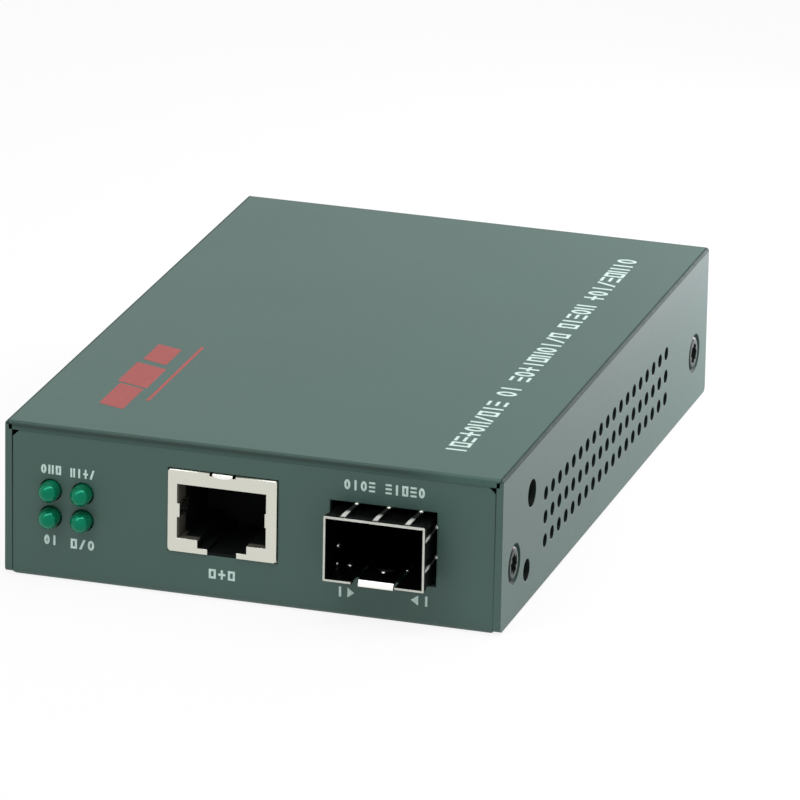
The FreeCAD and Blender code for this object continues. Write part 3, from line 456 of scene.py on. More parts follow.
# %% [markdown]
# ## Tools for shapes
#
# New pieces start as a few vertices or a simple shape in a bmesh, and operators such as bevel, extrude,
# spin and solidify turn them into sheet metal, lenses and print. Each finished mesh becomes an object that
# sits at the origin, rides on the one body, and stands in for the plain solid of the same piece.

# %% Helpers for pieces
FRONT, REAR = case_low.y, case_high.y
TOP, SIDE = case_high.z, case_high.x
panel_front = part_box("base_tray")[0].y
NEAR = 0.01 * MM                        # lengths this close count as the same
SAME_SPOT = 0.0005 * MM                 # points this close become one


def near(one, two):
    """Whether two lengths are the same but for rounding."""
    return abs(one - two) < NEAR


def only_verts(geometry):
    """The vertices among what an operator hands back."""
    return [part for part in geometry if isinstance(part, bmesh.types.BMVert)]


def face_outwards(bm):
    """Turn every face of closed shapes outwards, and make those of an open sheet agree."""
    bmesh.ops.recalc_face_normals(bm, faces=bm.faces)


def turned(place, axis, angle=math.pi / 2):
    """Matrix that turns about an axis, by a quarter if nothing else is said, and then moves."""
    return Matrix.Translation(place) @ Matrix.Rotation(angle, 4, axis)


def finish_piece(name, bm, coats, stands_for=(), smooth=40.0):
    """Turn a bmesh into a dressed object on the frame's body, and print its size."""
    ends = [[round(end(v.co[axis] for v in bm.verts) / MM, 2) for axis in range(3)] for end in (min, max)]
    print(name, "has", len(bm.faces), "faces, from", ends[0], "to", ends[1], "mm")
    mesh = bpy.data.meshes.new(name)
    bm.to_mesh(mesh)
    bm.free()
    for coat in coats:
        mesh.materials.append(coat)
    mesh.shade_smooth()
    mesh.set_sharp_from_angle(angle=math.radians(smooth))
    piece = new_object(name, mesh)
    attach(piece, "root")
    if stands_for:
        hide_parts(*stands_for)


print("case from", [round(v / MM, 2) for v in case_low], "to", [round(v / MM, 2) for v in case_high], "mm")

# %% [markdown]
# Sheet metal starts as a chain of edges, which is folded and then drawn out. Turned parts are an outline
# that is spun round, holes and recesses are cut by a mesh of cutters, and shapes that repeat are made once
# and copied.

# %% Helpers for sheets and turned parts
def chain(bm, points):
    """Open chain of edges through the points."""
    verts = [bm.verts.new(p) for p in points]
    for one, two in zip(verts, verts[1:]):
        bm.edges.new((one, two))
    return verts


def fold(bm, verts, radius, segments):
    """Round the corners of a chain."""
    bmesh.ops.bevel(bm, geom=verts, affect="VERTICES", offset=radius, offset_type="OFFSET", segments=segments,
                    profile=0.5, material=-1)


def draw_out(bm, along):
    """Sweep every edge of a chain along a vector into a sheet."""
    swept = bmesh.ops.extrude_edge_only(bm, edges=bm.edges[:])["geom"]
    bmesh.ops.translate(bm, vec=along, verts=only_verts(swept))
    face_outwards(bm)


def thicken(bm, height):
    """Give flat faces a thickness, upwards."""
    grown = bmesh.ops.extrude_face_region(bm, geom=bm.faces[:])["geom"]
    bmesh.ops.translate(bm, vec=(0.0, 0.0, height), verts=only_verts(grown))
    face_outwards(bm)


def spin_round(bm, centre, axis, steps):
    """Spin an outline, whose ends lie on the axis, all the way round into a closed solid."""
    bmesh.ops.spin(bm, geom=bm.verts[:] + bm.edges[:], cent=centre, axis=axis, angle=2 * math.pi,
                   steps=steps, use_merge=True, use_duplicate=False)
    bmesh.ops.remove_doubles(bm, verts=bm.verts, dist=SAME_SPOT)
    face_outwards(bm)


def round_edges(bm, edges, radius, segments):
    """Bevel edges into a round."""
    bmesh.ops.bevel(bm, geom=edges, affect="EDGES", offset=radius, segments=segments, profile=0.5,
                    material=-1)


print("sheet and spin helpers ready")


# %% Helpers for copies and cuts
def add_copy(bm, other, place):
    """Add a placed copy of another bmesh."""
    mesh = bpy.data.meshes.new("copy")
    other.to_mesh(mesh)
    mesh.transform(place)
    bm.from_mesh(mesh)
    bpy.data.meshes.remove(mesh)


def cylinder(bm, radius, start, end, sides, tip=None):
    """Closed cylinder or cone between two points."""
    start, end = Vector(start), Vector(end)
    turn = (end - start).to_track_quat("Z", "Y").to_matrix().to_4x4()
    turn.translation = (start + end) / 2
    bmesh.ops.create_cone(bm, cap_ends=True, cap_tris=False, segments=sides, radius1=radius,
                          radius2=radius if tip is None else tip, depth=(end - start).length, matrix=turn)


def cut(bm, cutter_bm):
    """Subtract one bmesh from another, and give the result as a new bmesh."""
    temporary = []
    for shape in (bm, cutter_bm):
        mesh = bpy.data.meshes.new("temporary")
        shape.to_mesh(mesh)
        shape.free()
        temporary.append(new_object("temporary", mesh))
    modifier = temporary[0].modifiers.new("cut", "BOOLEAN")
    modifier.operation = "DIFFERENCE"
    modifier.solver = "EXACT"
    modifier.object = temporary[1]
    graph = bpy.context.evaluated_depsgraph_get()
    result = bmesh.new()
    result.from_mesh(temporary[0].evaluated_get(graph).data)
    for one in temporary:
        bpy.data.objects.remove(one)
    return result


print("copy and cut helpers ready")

# %% [markdown]
# ## Folded cover
#
# The cover is one sheet, 1 mm thick, folded down at both sides. The lesson follows the brake press: a chain
# of four points is the sheet seen from the front, its two folds are bevelled round, the chain is drawn out
# to the case's depth, and solidify gives the sheet its thickness.

# %% Fold the sheet
SHEET, FOLD, HEM = 1.0 * MM, 0.5 * MM, 0.4 * MM
INK_ROOM = 0.03 * MM                    # the top lies this much lower, to leave room for the print
roof = TOP - INK_ROOM

bm = bmesh.new()
bends = chain(bm, [(-SIDE, FRONT, HEM), (-SIDE, FRONT, roof), (SIDE, FRONT, roof), (SIDE, FRONT, HEM)])
fold(bm, bends[1:3], FOLD, 8)
draw_out(bm, (0.0, REAR - FRONT, 0.0))
if sum(f.normal.z * f.calc_area() for f in bm.faces) < 0:
    bmesh.ops.reverse_faces(bm, faces=bm.faces)
bmesh.ops.solidify(bm, geom=bm.faces[:], thickness=SHEET)
bm.normal_update()
print("folded sheet:", len(bm.faces), "faces")

# %% [markdown]
# The press also punched the sheet flat before it was folded: a grid of round vents in each side, two larger
# holes for a bracket near the front, and countersunk holes for the screws. Here one mesh of cutters takes
# them all out at once. The lower corners of the side walls and the top's front edge are rounded too. The
# sheet is drawn a little thicker on the inside, which closes most of the gap above and beside the panel.

# %% Punch the cover
VENT_R, VENT_PITCH, VENT_COLUMNS, VENT_ROWS = 1.0 * MM, 3.52 * MM, 19, 3
VENT_Y, VENT_Z = FRONT + 21.5 * MM, 13.75 * MM
BRACKET = [(14.35 * MM, 16.2 * MM, 2.0 * MM), (12.4 * MM, 5.5 * MM, 1.6 * MM)]
SCREW_YS, SCREW_Z = (FRONT + 6.2 * MM, REAR - 7.0 * MM), 8.55 * MM
SINK_R, SINK_FOOT_R = 2.98 * MM, 1.98 * MM
VENT_SIDES, HOLE_SIDES = 24, 48
SEAM_CLOSED, WALL_CLOSED = 0.265 * MM, 0.095 * MM
HEM_CORNER, BROW, OVER = 0.8 * MM, 0.5 * MM, 0.5 * MM

under = [v for v in bm.verts if near(v.co.z, roof - SHEET)]
bmesh.ops.translate(bm, vec=(0.0, 0.0, -SEAM_CLOSED), verts=under)
for side in (-1, 1):
    inner = [v for v in bm.verts if near(v.co.x, side * (SIDE - SHEET)) and v.co.z < roof - SHEET]
    bmesh.ops.translate(bm, vec=(-side * WALL_CLOSED, 0.0, 0.0), verts=inner)
corners = [e for e in bm.edges if all(near(v.co.z, HEM) for v in e.verts)
           and near(e.verts[0].co.y, e.verts[1].co.y)]
round_edges(bm, corners, HEM_CORNER, 6)
top_front = [e for e in bm.edges if all(near(v.co.y, FRONT) and near(v.co.z, roof) for v in e.verts)]
round_edges(bm, top_front, BROW, 5)

cutter = bmesh.new()
for side in (-1, 1):
    inside, outside = side * (SIDE - 2 * SHEET), side * (SIDE + OVER)
    for column in range(VENT_COLUMNS):
        for row in range(VENT_ROWS):
            y, z = VENT_Y + column * VENT_PITCH, VENT_Z - row * VENT_PITCH
            cylinder(cutter, VENT_R, (inside, y, z), (outside, y, z), VENT_SIDES)
    for from_front, z, radius in BRACKET:
        y = FRONT + from_front
        cylinder(cutter, radius, (inside, y, z), (outside, y, z), HOLE_SIDES)
    for y in SCREW_YS:
        cylinder(cutter, SINK_FOOT_R - SHEET, (inside, y, SCREW_Z), (outside, y, SCREW_Z), HOLE_SIDES,
                 tip=SINK_R + OVER)
bm = cut(bm, cutter)
print("punched cover:", len(bm.faces), "faces")

# %% [markdown]
# Each face of the cover gets its coat by where it lies and which way it looks: painted shade on the top's cut
# front edge, darker painted shade inside and on the walls of the holes, and matt painted shade on the folds
# and in the sinks round the screws.

# %% Coat the cover
CUT, INSIDE_FACE, SHADE_FACE = 1, 2, 3
for face in bm.faces:
    face.normal_update()
    middle = face.calc_center_median()
    from_screw = min(math.hypot(middle.y - y, middle.z - SCREW_Z) for y in SCREW_YS)
    in_wall = HEM + SHEET < middle.z < roof - 2 * SHEET and FRONT + SHEET < middle.y < REAR - SHEET
    # The cut front edge, the inside with the hole walls, and the folds with the screw sinks get coats of
    # painted shade.
    if face.normal.y < -0.3 and middle.z > roof - 1.3 * SHEET and abs(middle.x) < SIDE - 0.5 * SHEET:
        face.material_index = CUT
    elif abs(middle.x) < SIDE - 0.95 * SHEET and middle.z < roof - 0.95 * SHEET and abs(face.normal.y) < 0.9:
        face.material_index = INSIDE_FACE
    elif face.normal.z > 0.05 and abs(face.normal.x) > 0.06 and middle.z > roof - 1.1 * FOLD:
        face.material_index = SHADE_FACE
    elif abs(face.normal.x) < 0.95 and from_screw < SINK_R:
        face.material_index = SHADE_FACE
    elif abs(face.normal.x) < 0.5 and in_wall:
        face.material_index = INSIDE_FACE
print("cover coats:", [sum(f.material_index == i for f in bm.faces) for i in range(4)], "faces")
cover_coats = [paint, cut_edge, inside_shade, fold_shade]
finish_piece("folded_cover", bm, cover_coats, ["top_cover"], smooth=25.0)

# %% [markdown]
# ## Cover screws
#
# Four countersunk M3 screws hold the cover on. A screw is a turned part, so half of its outline is spun
# round its axis: a flat face with a wide sloping rim, the cone, and the shank. The cross recess is sunk by
# two tapered bars, one after the other. The screw is made once, and its copies are turned to face out of
# each side. The recess, and the half of each rim that lies towards the front, are darkened with painted
# shade.

# %% Turn the screws
HEAD_R, HEAD_DROP, RIM, RIM_DEEP = 2.52 * MM, 0.04 * MM, 0.50 * MM, 0.36 * MM
SHANK_R, SHANK_LONG = 1.5 * MM, 4.0 * MM
CROSS_LONG, CROSS_WIDE, CROSS_DEEP, CROSS_TAPER = 3.2 * MM, 1.7 * MM, 1.3 * MM, 0.75
FIRST_TURN, NEXT_TURN = 0.25, 0.9       # radians, since the front and rear screws stopped at different turns

screw = bmesh.new()
cone_deep = HEAD_R - SHANK_R
chain(screw, [(0, 0, 0), (HEAD_R - RIM, 0, 0), (HEAD_R - 0.3 * RIM, 0, -0.45 * RIM_DEEP),
              (HEAD_R, 0, -RIM_DEEP), (SHANK_R, 0, -RIM_DEEP - cone_deep), (SHANK_R, 0, -SHANK_LONG),
              (0, 0, -SHANK_LONG)])
spin_round(screw, (0.0, 0.0, 0.0), (0.0, 0.0, 1.0), 48)
for quarter in range(2):
    bar = bmesh.new()
    bmesh.ops.create_cube(bar, size=1.0)
    bmesh.ops.scale(bar, vec=(CROSS_LONG, CROSS_WIDE, 2 * CROSS_DEEP), verts=bar.verts)
    bmesh.ops.scale(bar, vec=(CROSS_TAPER, CROSS_TAPER, 1.0), verts=[v for v in bar.verts if v.co.z < 0])
    turn = Matrix.Rotation(quarter * math.pi / 2, 3, "Z")
    bmesh.ops.rotate(bar, cent=(0, 0, 0), matrix=turn, verts=bar.verts)
    screw = cut(screw, bar)
print("one screw:", len(screw.faces), "faces")

# %% Set the screws
screws = bmesh.new()
for index, y in enumerate(SCREW_YS):
    for side in (-1, 1):
        outwards = turned((side * (SIDE - HEAD_DROP), y, SCREW_Z), "Y", side * math.pi / 2)
        add_copy(screws, screw, outwards @ Matrix.Rotation(FIRST_TURN + NEXT_TURN * index, 4, "Z"))
screw.free()
for face in screws.faces:
    face.normal_update()
    middle = face.calc_center_median()
    y = min(SCREW_YS, key=lambda spot: abs(spot - middle.y))
    from_axis = math.hypot(middle.y - y, middle.z - SCREW_Z)
    # Painted shade: the front half of each rim, and the recess.
    shaded = from_axis > HEAD_R - 0.9 * RIM and middle.y < y
    sunk = from_axis < CROSS_LONG / 2 + 0.1 * MM and abs(middle.x) < SIDE - HEAD_DROP - 0.05 * MM
    face.material_index = 1 if shaded or sunk else 0
finish_piece("countersunk_screws", screws, [screw_finish, screw_shade], ["cover_screws"])

# %% [markdown]
# ## Lamps
#
# Each lamp is a 3 mm light-emitting diode: a straight body with a half ball at its tip. One vertex is spun
# by a quarter turn into the ball's outline, drawn back along the body and in to the axis, and the outline
# is then spun all the way round.

# %% Turn the lamps
for corner in ("lower_left", "upper_left", "lower_right", "upper_right"):
    low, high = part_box("lamp_" + corner)
    middle = (low + high) / 2
    radius = (high.z - low.z) / 2
    bm = bmesh.new()
    tip = bm.verts.new((middle.x, low.y, middle.z))
    ball = (middle.x, low.y + radius, middle.z)
    arc = bmesh.ops.spin(bm, geom=[tip], cent=ball, axis=(1.0, 0.0, 0.0), angle=math.pi / 2, steps=10)
    rim = only_verts(arc["geom_last"])
    for along in ((0.0, high.y - ball[1], 0.0), (0.0, 0.0, middle.z - rim[0].co.z)):
        rim = bmesh.ops.extrude_vert_indiv(bm, verts=rim)["verts"]
        bmesh.ops.translate(bm, vec=along, verts=rim)
    spin_round(bm, middle, (0.0, 1.0, 0.0), 40)
    finish_piece("lens_" + corner, bm, [lens_resin], ["lamp_" + corner])

# %% [markdown]
# ## Copper port shell
#
# The shell of the copper port stays close to its solid, but its corners are folded tighter than the solid
# shows. A copy of its mesh is cleaned up, and every point on a corner's arc is drawn out onto a smaller
# arc. The module cage gets the same treatment later.

# %% Helpers for sheet tubes
def sharpen(bm, left, right, low, top, old, new):
    """Move the points on the arcs of a tube's four corners onto smaller arcs."""
    moved = 0
    for vert in bm.verts:
        for x, side in ((left + old, -1), (right - old, 1)):
            for z, rise in ((low + old, -1), (top - old, 1)):
                arm = Vector((vert.co.x - x, 0.0, vert.co.z - z))
                if arm.x * side > -1e-7 and arm.z * rise > -1e-7 and abs(arm.length - old) < 0.04 * old:
                    vert.co.x = x + side * (old - new) + arm.x * new / old
                    vert.co.z = z + rise * (old - new) + arm.z * new / old
                    moved += 1
    return moved


def clean_copy(node):
    """Copy of a solid's mesh, merged and with its flat faces made whole."""
    bm = bmesh.new()
    bm.from_mesh(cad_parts[node].data)
    bmesh.ops.remove_doubles(bm, verts=bm.verts, dist=0.002 * MM)
    bmesh.ops.dissolve_limit(bm, angle_limit=math.radians(1.0), verts=bm.verts, edges=bm.edges)
    return bm


print("tube helpers ready")

# %% [markdown]
# The opening in the front of the shell is drawn a little wider and higher than in the solid, and the edge
# between the front and the top is rolled over.

# %% Tighten the port shell
PORT_X, PORT_HALF, PORT_TOP = -4.23 * MM, 7.95 * MM, 18.8 * MM
PORT_CORNER, PORT_TIGHT = 0.8 * MM, 0.35 * MM
MOUTH_LEFT, MOUTH_RIGHT, MOUTH_HIGH = PORT_X - 6.4 * MM, PORT_X + 6.4 * MM, 16.6 * MM
WIDER, HIGHER, ROLL = 0.2 * MM, 0.1 * MM, 0.22 * MM
shell_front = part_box("copper_port_shield")[0].y
bm = clean_copy("copper_port_shield")
moved = sharpen(bm, PORT_X - PORT_HALF, PORT_X + PORT_HALF, 0.0, PORT_TOP, PORT_CORNER, PORT_TIGHT)
for vert in bm.verts:
    if vert.co.y < shell_front + 0.4 * MM:
        if abs(vert.co.x - MOUTH_LEFT) < 0.5 * MM:
            vert.co.x -= WIDER
        elif 0.1 * MM < MOUTH_RIGHT - vert.co.x < 0.5 * MM:
            vert.co.x += WIDER
        if abs(vert.co.z - MOUTH_HIGH) < 0.05 * MM:
            vert.co.z += HIGHER


def tops_front(edge):
    """Whether an edge divides the front face from the top of the shell."""
    ways = [face.normal for face in edge.link_faces]
    return any(way.y < -0.9 for way in ways) and any(way.z > 0.3 for way in ways)


bm.normal_update()
outline = []
for edge in bm.edges:
    middle = (edge.verts[0].co + edge.verts[1].co) / 2
    at_front = all(near(v.co.y, shell_front) for v in edge.verts)
    if at_front and middle.z > PORT_TOP - PORT_TIGHT - NEAR and tops_front(edge):
        outline.append(edge)
round_edges(bm, outline, ROLL, 3)
print("port shell:", moved, "points moved,", len(outline), "edges rolled")
finish_piece("port_shell", bm, [tinned], ["copper_port_shield"])

# %% [markdown]
# The little tongue between the two slits in the shell's top edge is polished. It is the lower half of a
# flattened disc, made lying down, thickened and stood up slightly proud of the front.

# %% Add the tongue
TONGUE_HALF, TONGUE_HIGH, TONGUE_THICK = 1.5 * MM, 0.52 * MM, 0.06 * MM
TONGUE_BACK, TONGUE_DOWN = 0.01 * MM, 0.12 * MM
bm = bmesh.new()
bmesh.ops.create_circle(bm, cap_ends=True, segments=32, radius=1.0)
for vert in bm.verts:
    vert.co.y = min(vert.co.y, 0.0)
bmesh.ops.remove_doubles(bm, verts=bm.verts, dist=0.001)
bmesh.ops.scale(bm, vec=(TONGUE_HALF, TONGUE_HIGH, 1.0), verts=bm.verts)
face_outwards(bm)
thicken(bm, TONGUE_THICK)
stand = turned((PORT_X, shell_front + TONGUE_BACK, PORT_TOP - TONGUE_DOWN), "X")
bmesh.ops.transform(bm, matrix=stand, verts=bm.verts)
finish_piece("shell_tongue", bm, [polished_lip])

# %% [markdown]
# ## Module cage
#
# The cage stays close to its solid too, so a copy of its mesh is cleaned up and changed. Its corners are
# tightened, and its mouth is flared, by a quarter of a millimetre on the right and by less at the top and
# on the left. The sprung tab's lip is a little narrower than the tab, and its bend is rounded.

# %% Shape the cage
cage_low, cage_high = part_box("module_cage")
CAGE_X, CAGE_LOW, CAGE_TOP = 19.1 * MM, 6.8 * MM, 16.15 * MM
CAGE_HALF, MOUTH = (cage_high.x - cage_low.x) / 2, cage_low.y
CAGE_CORNER, CAGE_TIGHT = 0.45 * MM, 0.18 * MM
FLARE = 0.25 * MM                       # the mouth is flared over this length
FLARE_UP, FLARE_RIGHT, FLARE_LEFT = 0.20 * MM, 0.25 * MM, -0.06 * MM
TAB_HALF, TAB_END = 2.67 * MM, 1.45 * MM
LIP_REACH, LIP_KEPT, LIP_NARROW, LIP_BEND = 1.2 * MM, 0.32 * MM, 0.95, 0.08 * MM
LIP_TOP, LIP_LOW = -0.34 * MM, -0.15 * MM
bm = clean_copy("module_cage")
sharpen(bm, CAGE_X - CAGE_HALF, CAGE_X + CAGE_HALF, CAGE_LOW, CAGE_TOP, CAGE_CORNER, CAGE_TIGHT)
bmesh.ops.bisect_plane(bm, geom=bm.verts[:] + bm.edges[:] + bm.faces[:], plane_co=(0.0, MOUTH + FLARE, 0.0),
                       plane_no=(0.0, 1.0, 0.0))
for vert in bm.verts:
    if vert.co.y < MOUTH + NEAR:
        if vert.co.z > CAGE_TOP - 1.0 * MM:
            vert.co.z += FLARE_UP
        if abs(vert.co.x - CAGE_X) > CAGE_HALF - 1.0 * MM:
            vert.co.x += FLARE_RIGHT if vert.co.x > CAGE_X else FLARE_LEFT
lip_end = MOUTH + TAB_END + LIP_REACH + 0.1 * MM
lip = [v for v in bm.verts if abs(v.co.x - CAGE_X) < TAB_HALF + NEAR and v.co.y < lip_end]
for vert in lip:
    if vert.co.y > MOUTH + TAB_END + 0.6 * LIP_REACH:
        vert.co.y -= LIP_REACH - LIP_KEPT
    vert.co.x = CAGE_X + (vert.co.x - CAGE_X) * LIP_NARROW
    behind = vert.co.y > MOUTH + TAB_END + 0.2 * MM
    vert.co.z += LIP_TOP if behind and vert.co.z > CAGE_LOW + 0.1 * MM else LIP_LOW
bend = [e for e in bm.edges if all(v in lip for v in e.verts) and e.calc_face_angle(0.0) > math.radians(30)
        and abs(e.verts[0].co.x - e.verts[1].co.x) > TAB_HALF]
round_edges(bm, bend, LIP_BEND, 3)
print("cage:", len(bm.faces), "faces")

# %% [markdown]
# The cage's faces are shared out between three finishes: the cut rim at the mouth is bright, the lip is
# polished, and the rest is dark.

# %% Finish the cage
for face in bm.faces:
    face.normal_update()
    middle = face.calc_center_median()
    on_rim = face.normal.y < -0.9 and middle.y < MOUTH + 0.02 * MM
    on_lip = abs(middle.x - CAGE_X) < TAB_HALF and middle.y < MOUTH + TAB_END + 0.8 * LIP_REACH
    face.material_index = 1 if on_rim else 2 if on_lip and middle.y > MOUTH + 0.1 * MM else 0
print("bright or polished:", sum(f.material_index > 0 for f in bm.faces), "faces")
finish_piece("cage_sheet", bm, [cage_metal, bright_edge, polished_lip], ["module_cage"])

# %% [markdown]
# A few pressed dimples show inside the cage as bright specks. One is half a small ball, flattened a little,
# and its copies sit on the left wall and on the floor.

# %% Press the dimples
SPECK_R, SPECK_HIGH = 0.42 * MM, 0.30 * MM
WALL_X, FLOOR_Z = 12.25, 7.1
WALL_SPECKS = [(WALL_X, -52.74, 10.04, 1.0), (WALL_X, -53.0, 7.45, 0.9)]
FLOOR_SPECKS = [(13.85, -52.21, FLOOR_Z, 1.0), (19.13, -53.33, FLOOR_Z, 1.0), (22.0, -51.54, FLOOR_Z, 0.6)]
dimple = bmesh.new()
bmesh.ops.create_icosphere(dimple, subdivisions=2, radius=SPECK_R)
bmesh.ops.bisect_plane(dimple, geom=dimple.verts[:] + dimple.edges[:] + dimple.faces[:], plane_co=(0, 0, 0),
                       plane_no=(0, 0, -1), clear_outer=True)
bmesh.ops.holes_fill(dimple, edges=[e for e in dimple.edges if e.is_boundary])
bmesh.ops.scale(dimple, vec=(1.0, 1.0, SPECK_HIGH / SPECK_R), verts=dimple.verts)
face_outwards(dimple)
bm = bmesh.new()
for specks, angle in ((WALL_SPECKS, math.pi / 2), (FLOOR_SPECKS, 0.0)):
    for x, y, z, size in specks:
        add_copy(bm, dimple, turned((x * MM, y * MM, z * MM), "Y", angle) @ Matrix.Scale(size, 4))
dimple.free()
finish_piece("cage_dimples", bm, [polished_lip])

# %% [markdown]
# ## Ground fingers
#
# A clip of thin spring sheet wraps round the mouth of the cage. Its fingers rise to the edge of the panel's
# opening and fall again behind it. Each finger is a chain with rounded bends, drawn out to its width,
# narrowed towards its tip and given a thickness. Each kind is made once, and its copies are turned onto the
# four sides.

# %% Helper for a finger
BAND, BAND_WIDE, BAND_SET_BACK, BAND_BEND = 0.15 * MM, 1.15 * MM, 0.25 * MM, 0.2 * MM
WIDE, SLIM, TAPER, LEAN = 0.70 * MM, 0.45 * MM, 0.70, 0.85 * MM
FINGER_START, FINGER_STEP, FINGER_BEND, SPARE = 0.3 * MM, 1.2 * MM, 0.35 * MM, 0.02 * MM


def finger(rise, wide, lean):
    """One finger that starts on the cage at height 0, and just clears the opening's edge at this rise."""
    bm = bmesh.new()
    start, touch = MOUTH + FINGER_START, rise - BAND - SPARE
    points = [(start, 0.0), (start + FINGER_STEP, 0.45 * touch), (FRONT, touch),
              (FRONT + FINGER_STEP, 0.8 * touch), (FRONT + 2 * FINGER_STEP, 0.35 * touch)]
    verts = chain(bm, [(-wide / 2, y, z) for y, z in points])
    fold(bm, verts[1:-1], FINGER_BEND, 3)
    draw_out(bm, (wide, 0.0, 0.0))
    for vert in bm.verts:
        share = min(max((vert.co.y - start) / (FRONT - start), 0.0), 1.0)
        vert.co.x = vert.co.x * (1.0 - share * (1.0 - TAPER)) - lean * (1.0 - share)
    if sum(f.normal.z for f in bm.faces) < 0:
        bmesh.ops.reverse_faces(bm, faces=bm.faces)
    bmesh.ops.translate(bm, vec=(0.0, 0.0, BAND), verts=bm.verts)
    bmesh.ops.solidify(bm, geom=bm.faces[:], thickness=BAND)
    face_outwards(bm)
    return bm


print("finger helper ready")

# %% Bend the fingers
OPENING = {"top": 17.05 * MM, "right": 26.85 * MM, "low": 6.1 * MM}
TOP_XS, SIDE_ZS, LOW_XS = (15.3 * MM, 19.95 * MM, 24.6 * MM), (10.55 * MM, 14.95 * MM), (13.4 * MM, 24.8 * MM)
top_finger = finger(OPENING["top"] - CAGE_TOP, WIDE, LEAN)
right_finger = finger(OPENING["right"] - cage_high.x, SLIM, -LEAN)
left_finger = finger(OPENING["right"] - cage_high.x, SLIM, LEAN)
low_finger = finger(CAGE_LOW - OPENING["low"], WIDE, 0.0)
fingers = bmesh.new()
for x in TOP_XS:
    add_copy(fingers, top_finger, turned((x, 0.0, CAGE_TOP), "Y", 0.0))
for z in SIDE_ZS:
    add_copy(fingers, right_finger, turned((CAGE_X + CAGE_HALF, 0.0, z), "Y"))
    add_copy(fingers, left_finger, turned((CAGE_X - CAGE_HALF, 0.0, z), "Y", -math.pi / 2))
for x in LOW_XS:
    add_copy(fingers, low_finger, turned((x, 0.0, CAGE_LOW), "Y", math.pi))
sprung = len(fingers.faces)
print("fingers:", sprung, "faces")

# %% [markdown]
# The clip under them is a chain round the cage, which leaves a gap for the sprung tab. Where the upper and
# the right fingers come up to the panel, small squashed balls stand for their bright contact points.

# %% Add the clip and the contact points
CONTACT_R, CONTACT_AHEAD = 0.34 * MM, 0.12 * MM
CONTACT_DROP, CONTACT_OUT = 0.08 * MM, 0.05 * MM
clip = bmesh.new()
gap = TAB_HALF + 0.5 * MM
x0, x1, z0, z1 = CAGE_X - CAGE_HALF, CAGE_X + CAGE_HALF, CAGE_LOW, CAGE_TOP
path = [(CAGE_X + gap, z0), (x1, z0), (x1, z1), (x0, z1), (x0, z0), (CAGE_X - gap, z0)]
loop = chain(clip, [(x, MOUTH + BAND_SET_BACK, z) for x, z in path])
fold(clip, loop[1:-1], BAND_BEND, 3)
draw_out(clip, (0.0, BAND_WIDE, 0.0))
if sum((f.calc_center_median().x - CAGE_X) * f.normal.x for f in clip.faces) < 0:
    bmesh.ops.reverse_faces(clip, faces=clip.faces)
bmesh.ops.solidify(clip, geom=clip.faces[:], thickness=-BAND)
contacts = [(x, OPENING["top"] - CONTACT_DROP, 1.0, 0.75) for x in TOP_XS]
contacts += [(OPENING["right"] + CONTACT_OUT, z, 0.5, 1.3) for z in SIDE_ZS]
for x, z, size, stretch in contacts:
    ball = bmesh.new()
    bmesh.ops.create_icosphere(ball, subdivisions=2, radius=CONTACT_R * size)
    bmesh.ops.scale(ball, vec=(1.0, 0.8, stretch), verts=ball.verts)
    add_copy(fingers, ball, Matrix.Translation((x, FRONT - CONTACT_AHEAD, z)))
    ball.free()
balls = len(fingers.faces)
add_copy(fingers, clip, Matrix.Identity(4))
for index, face in enumerate(fingers.faces):
    face.material_index = 0 if index < sprung else 2 if index < balls else 1
for shape in (top_finger, right_finger, left_finger, low_finger, clip):
    shape.free()
clip_metals = [finger_metal, cage_metal, bright_edge]
finish_piece("spring_fingers", fingers, clip_metals, ["cage_ground_fingers"])

# %% [markdown]
# ## Printed marks
#
# The front and the top carry small screened marks. They stay wordless here: rings, frames, bars and arrows,
# each a flat plate of ink two hundredths of a millimetre thick. A ring is a filled circle whose face is
# inset and then taken out, a frame is the same with four sides, and an arrow is a three-sided circle.

# %% Helpers for marks
INK_THICK = 0.02 * MM


def place_mark(bm, verts, at, size, turn=0.0):
    """Turn, size and move the new vertices of a mark that was made round the middle, one unit wide."""
    bmesh.ops.rotate(bm, cent=(0.0, 0.0, 0.0), matrix=Matrix.Rotation(turn, 3, "Z"), verts=verts)
    bmesh.ops.scale(bm, vec=(size[0], size[1], 1.0), verts=verts)
    bmesh.ops.translate(bm, vec=(at[0], at[1], 0.0), verts=verts)


def ring_mark(bm, at, size, stroke, sides=20):
    """Ring, or with four sides a frame."""
    square = sides == 4
    radius = math.sqrt(0.5) if square else 0.5
    verts = bmesh.ops.create_circle(bm, cap_ends=True, segments=sides, radius=radius)["verts"]
    place_mark(bm, verts, at, size, math.pi / 4 if square else 0.0)
    face = verts[0].link_faces[0]
    bmesh.ops.inset_region(bm, faces=[face], thickness=stroke, use_boundary=True, use_even_offset=True)
    bmesh.ops.delete(bm, geom=[face], context="FACES")


def bar_mark(bm, at, size, slant=0.0):
    """Straight bar, leaning by a share of its height."""
    verts = bmesh.ops.create_grid(bm, x_segments=1, y_segments=1, size=0.5)["verts"]
    for vert in verts:
        vert.co.x += slant * vert.co.y * size[1] / size[0]
    place_mark(bm, verts, at, size)


def arrow_mark(bm, at, size, turn):
    """Solid triangle that points along the turn."""
    verts = bmesh.ops.create_circle(bm, cap_ends=True, segments=3, radius=0.58)["verts"]
    place_mark(bm, verts, at, size, turn)


print("three kinds of mark ready")


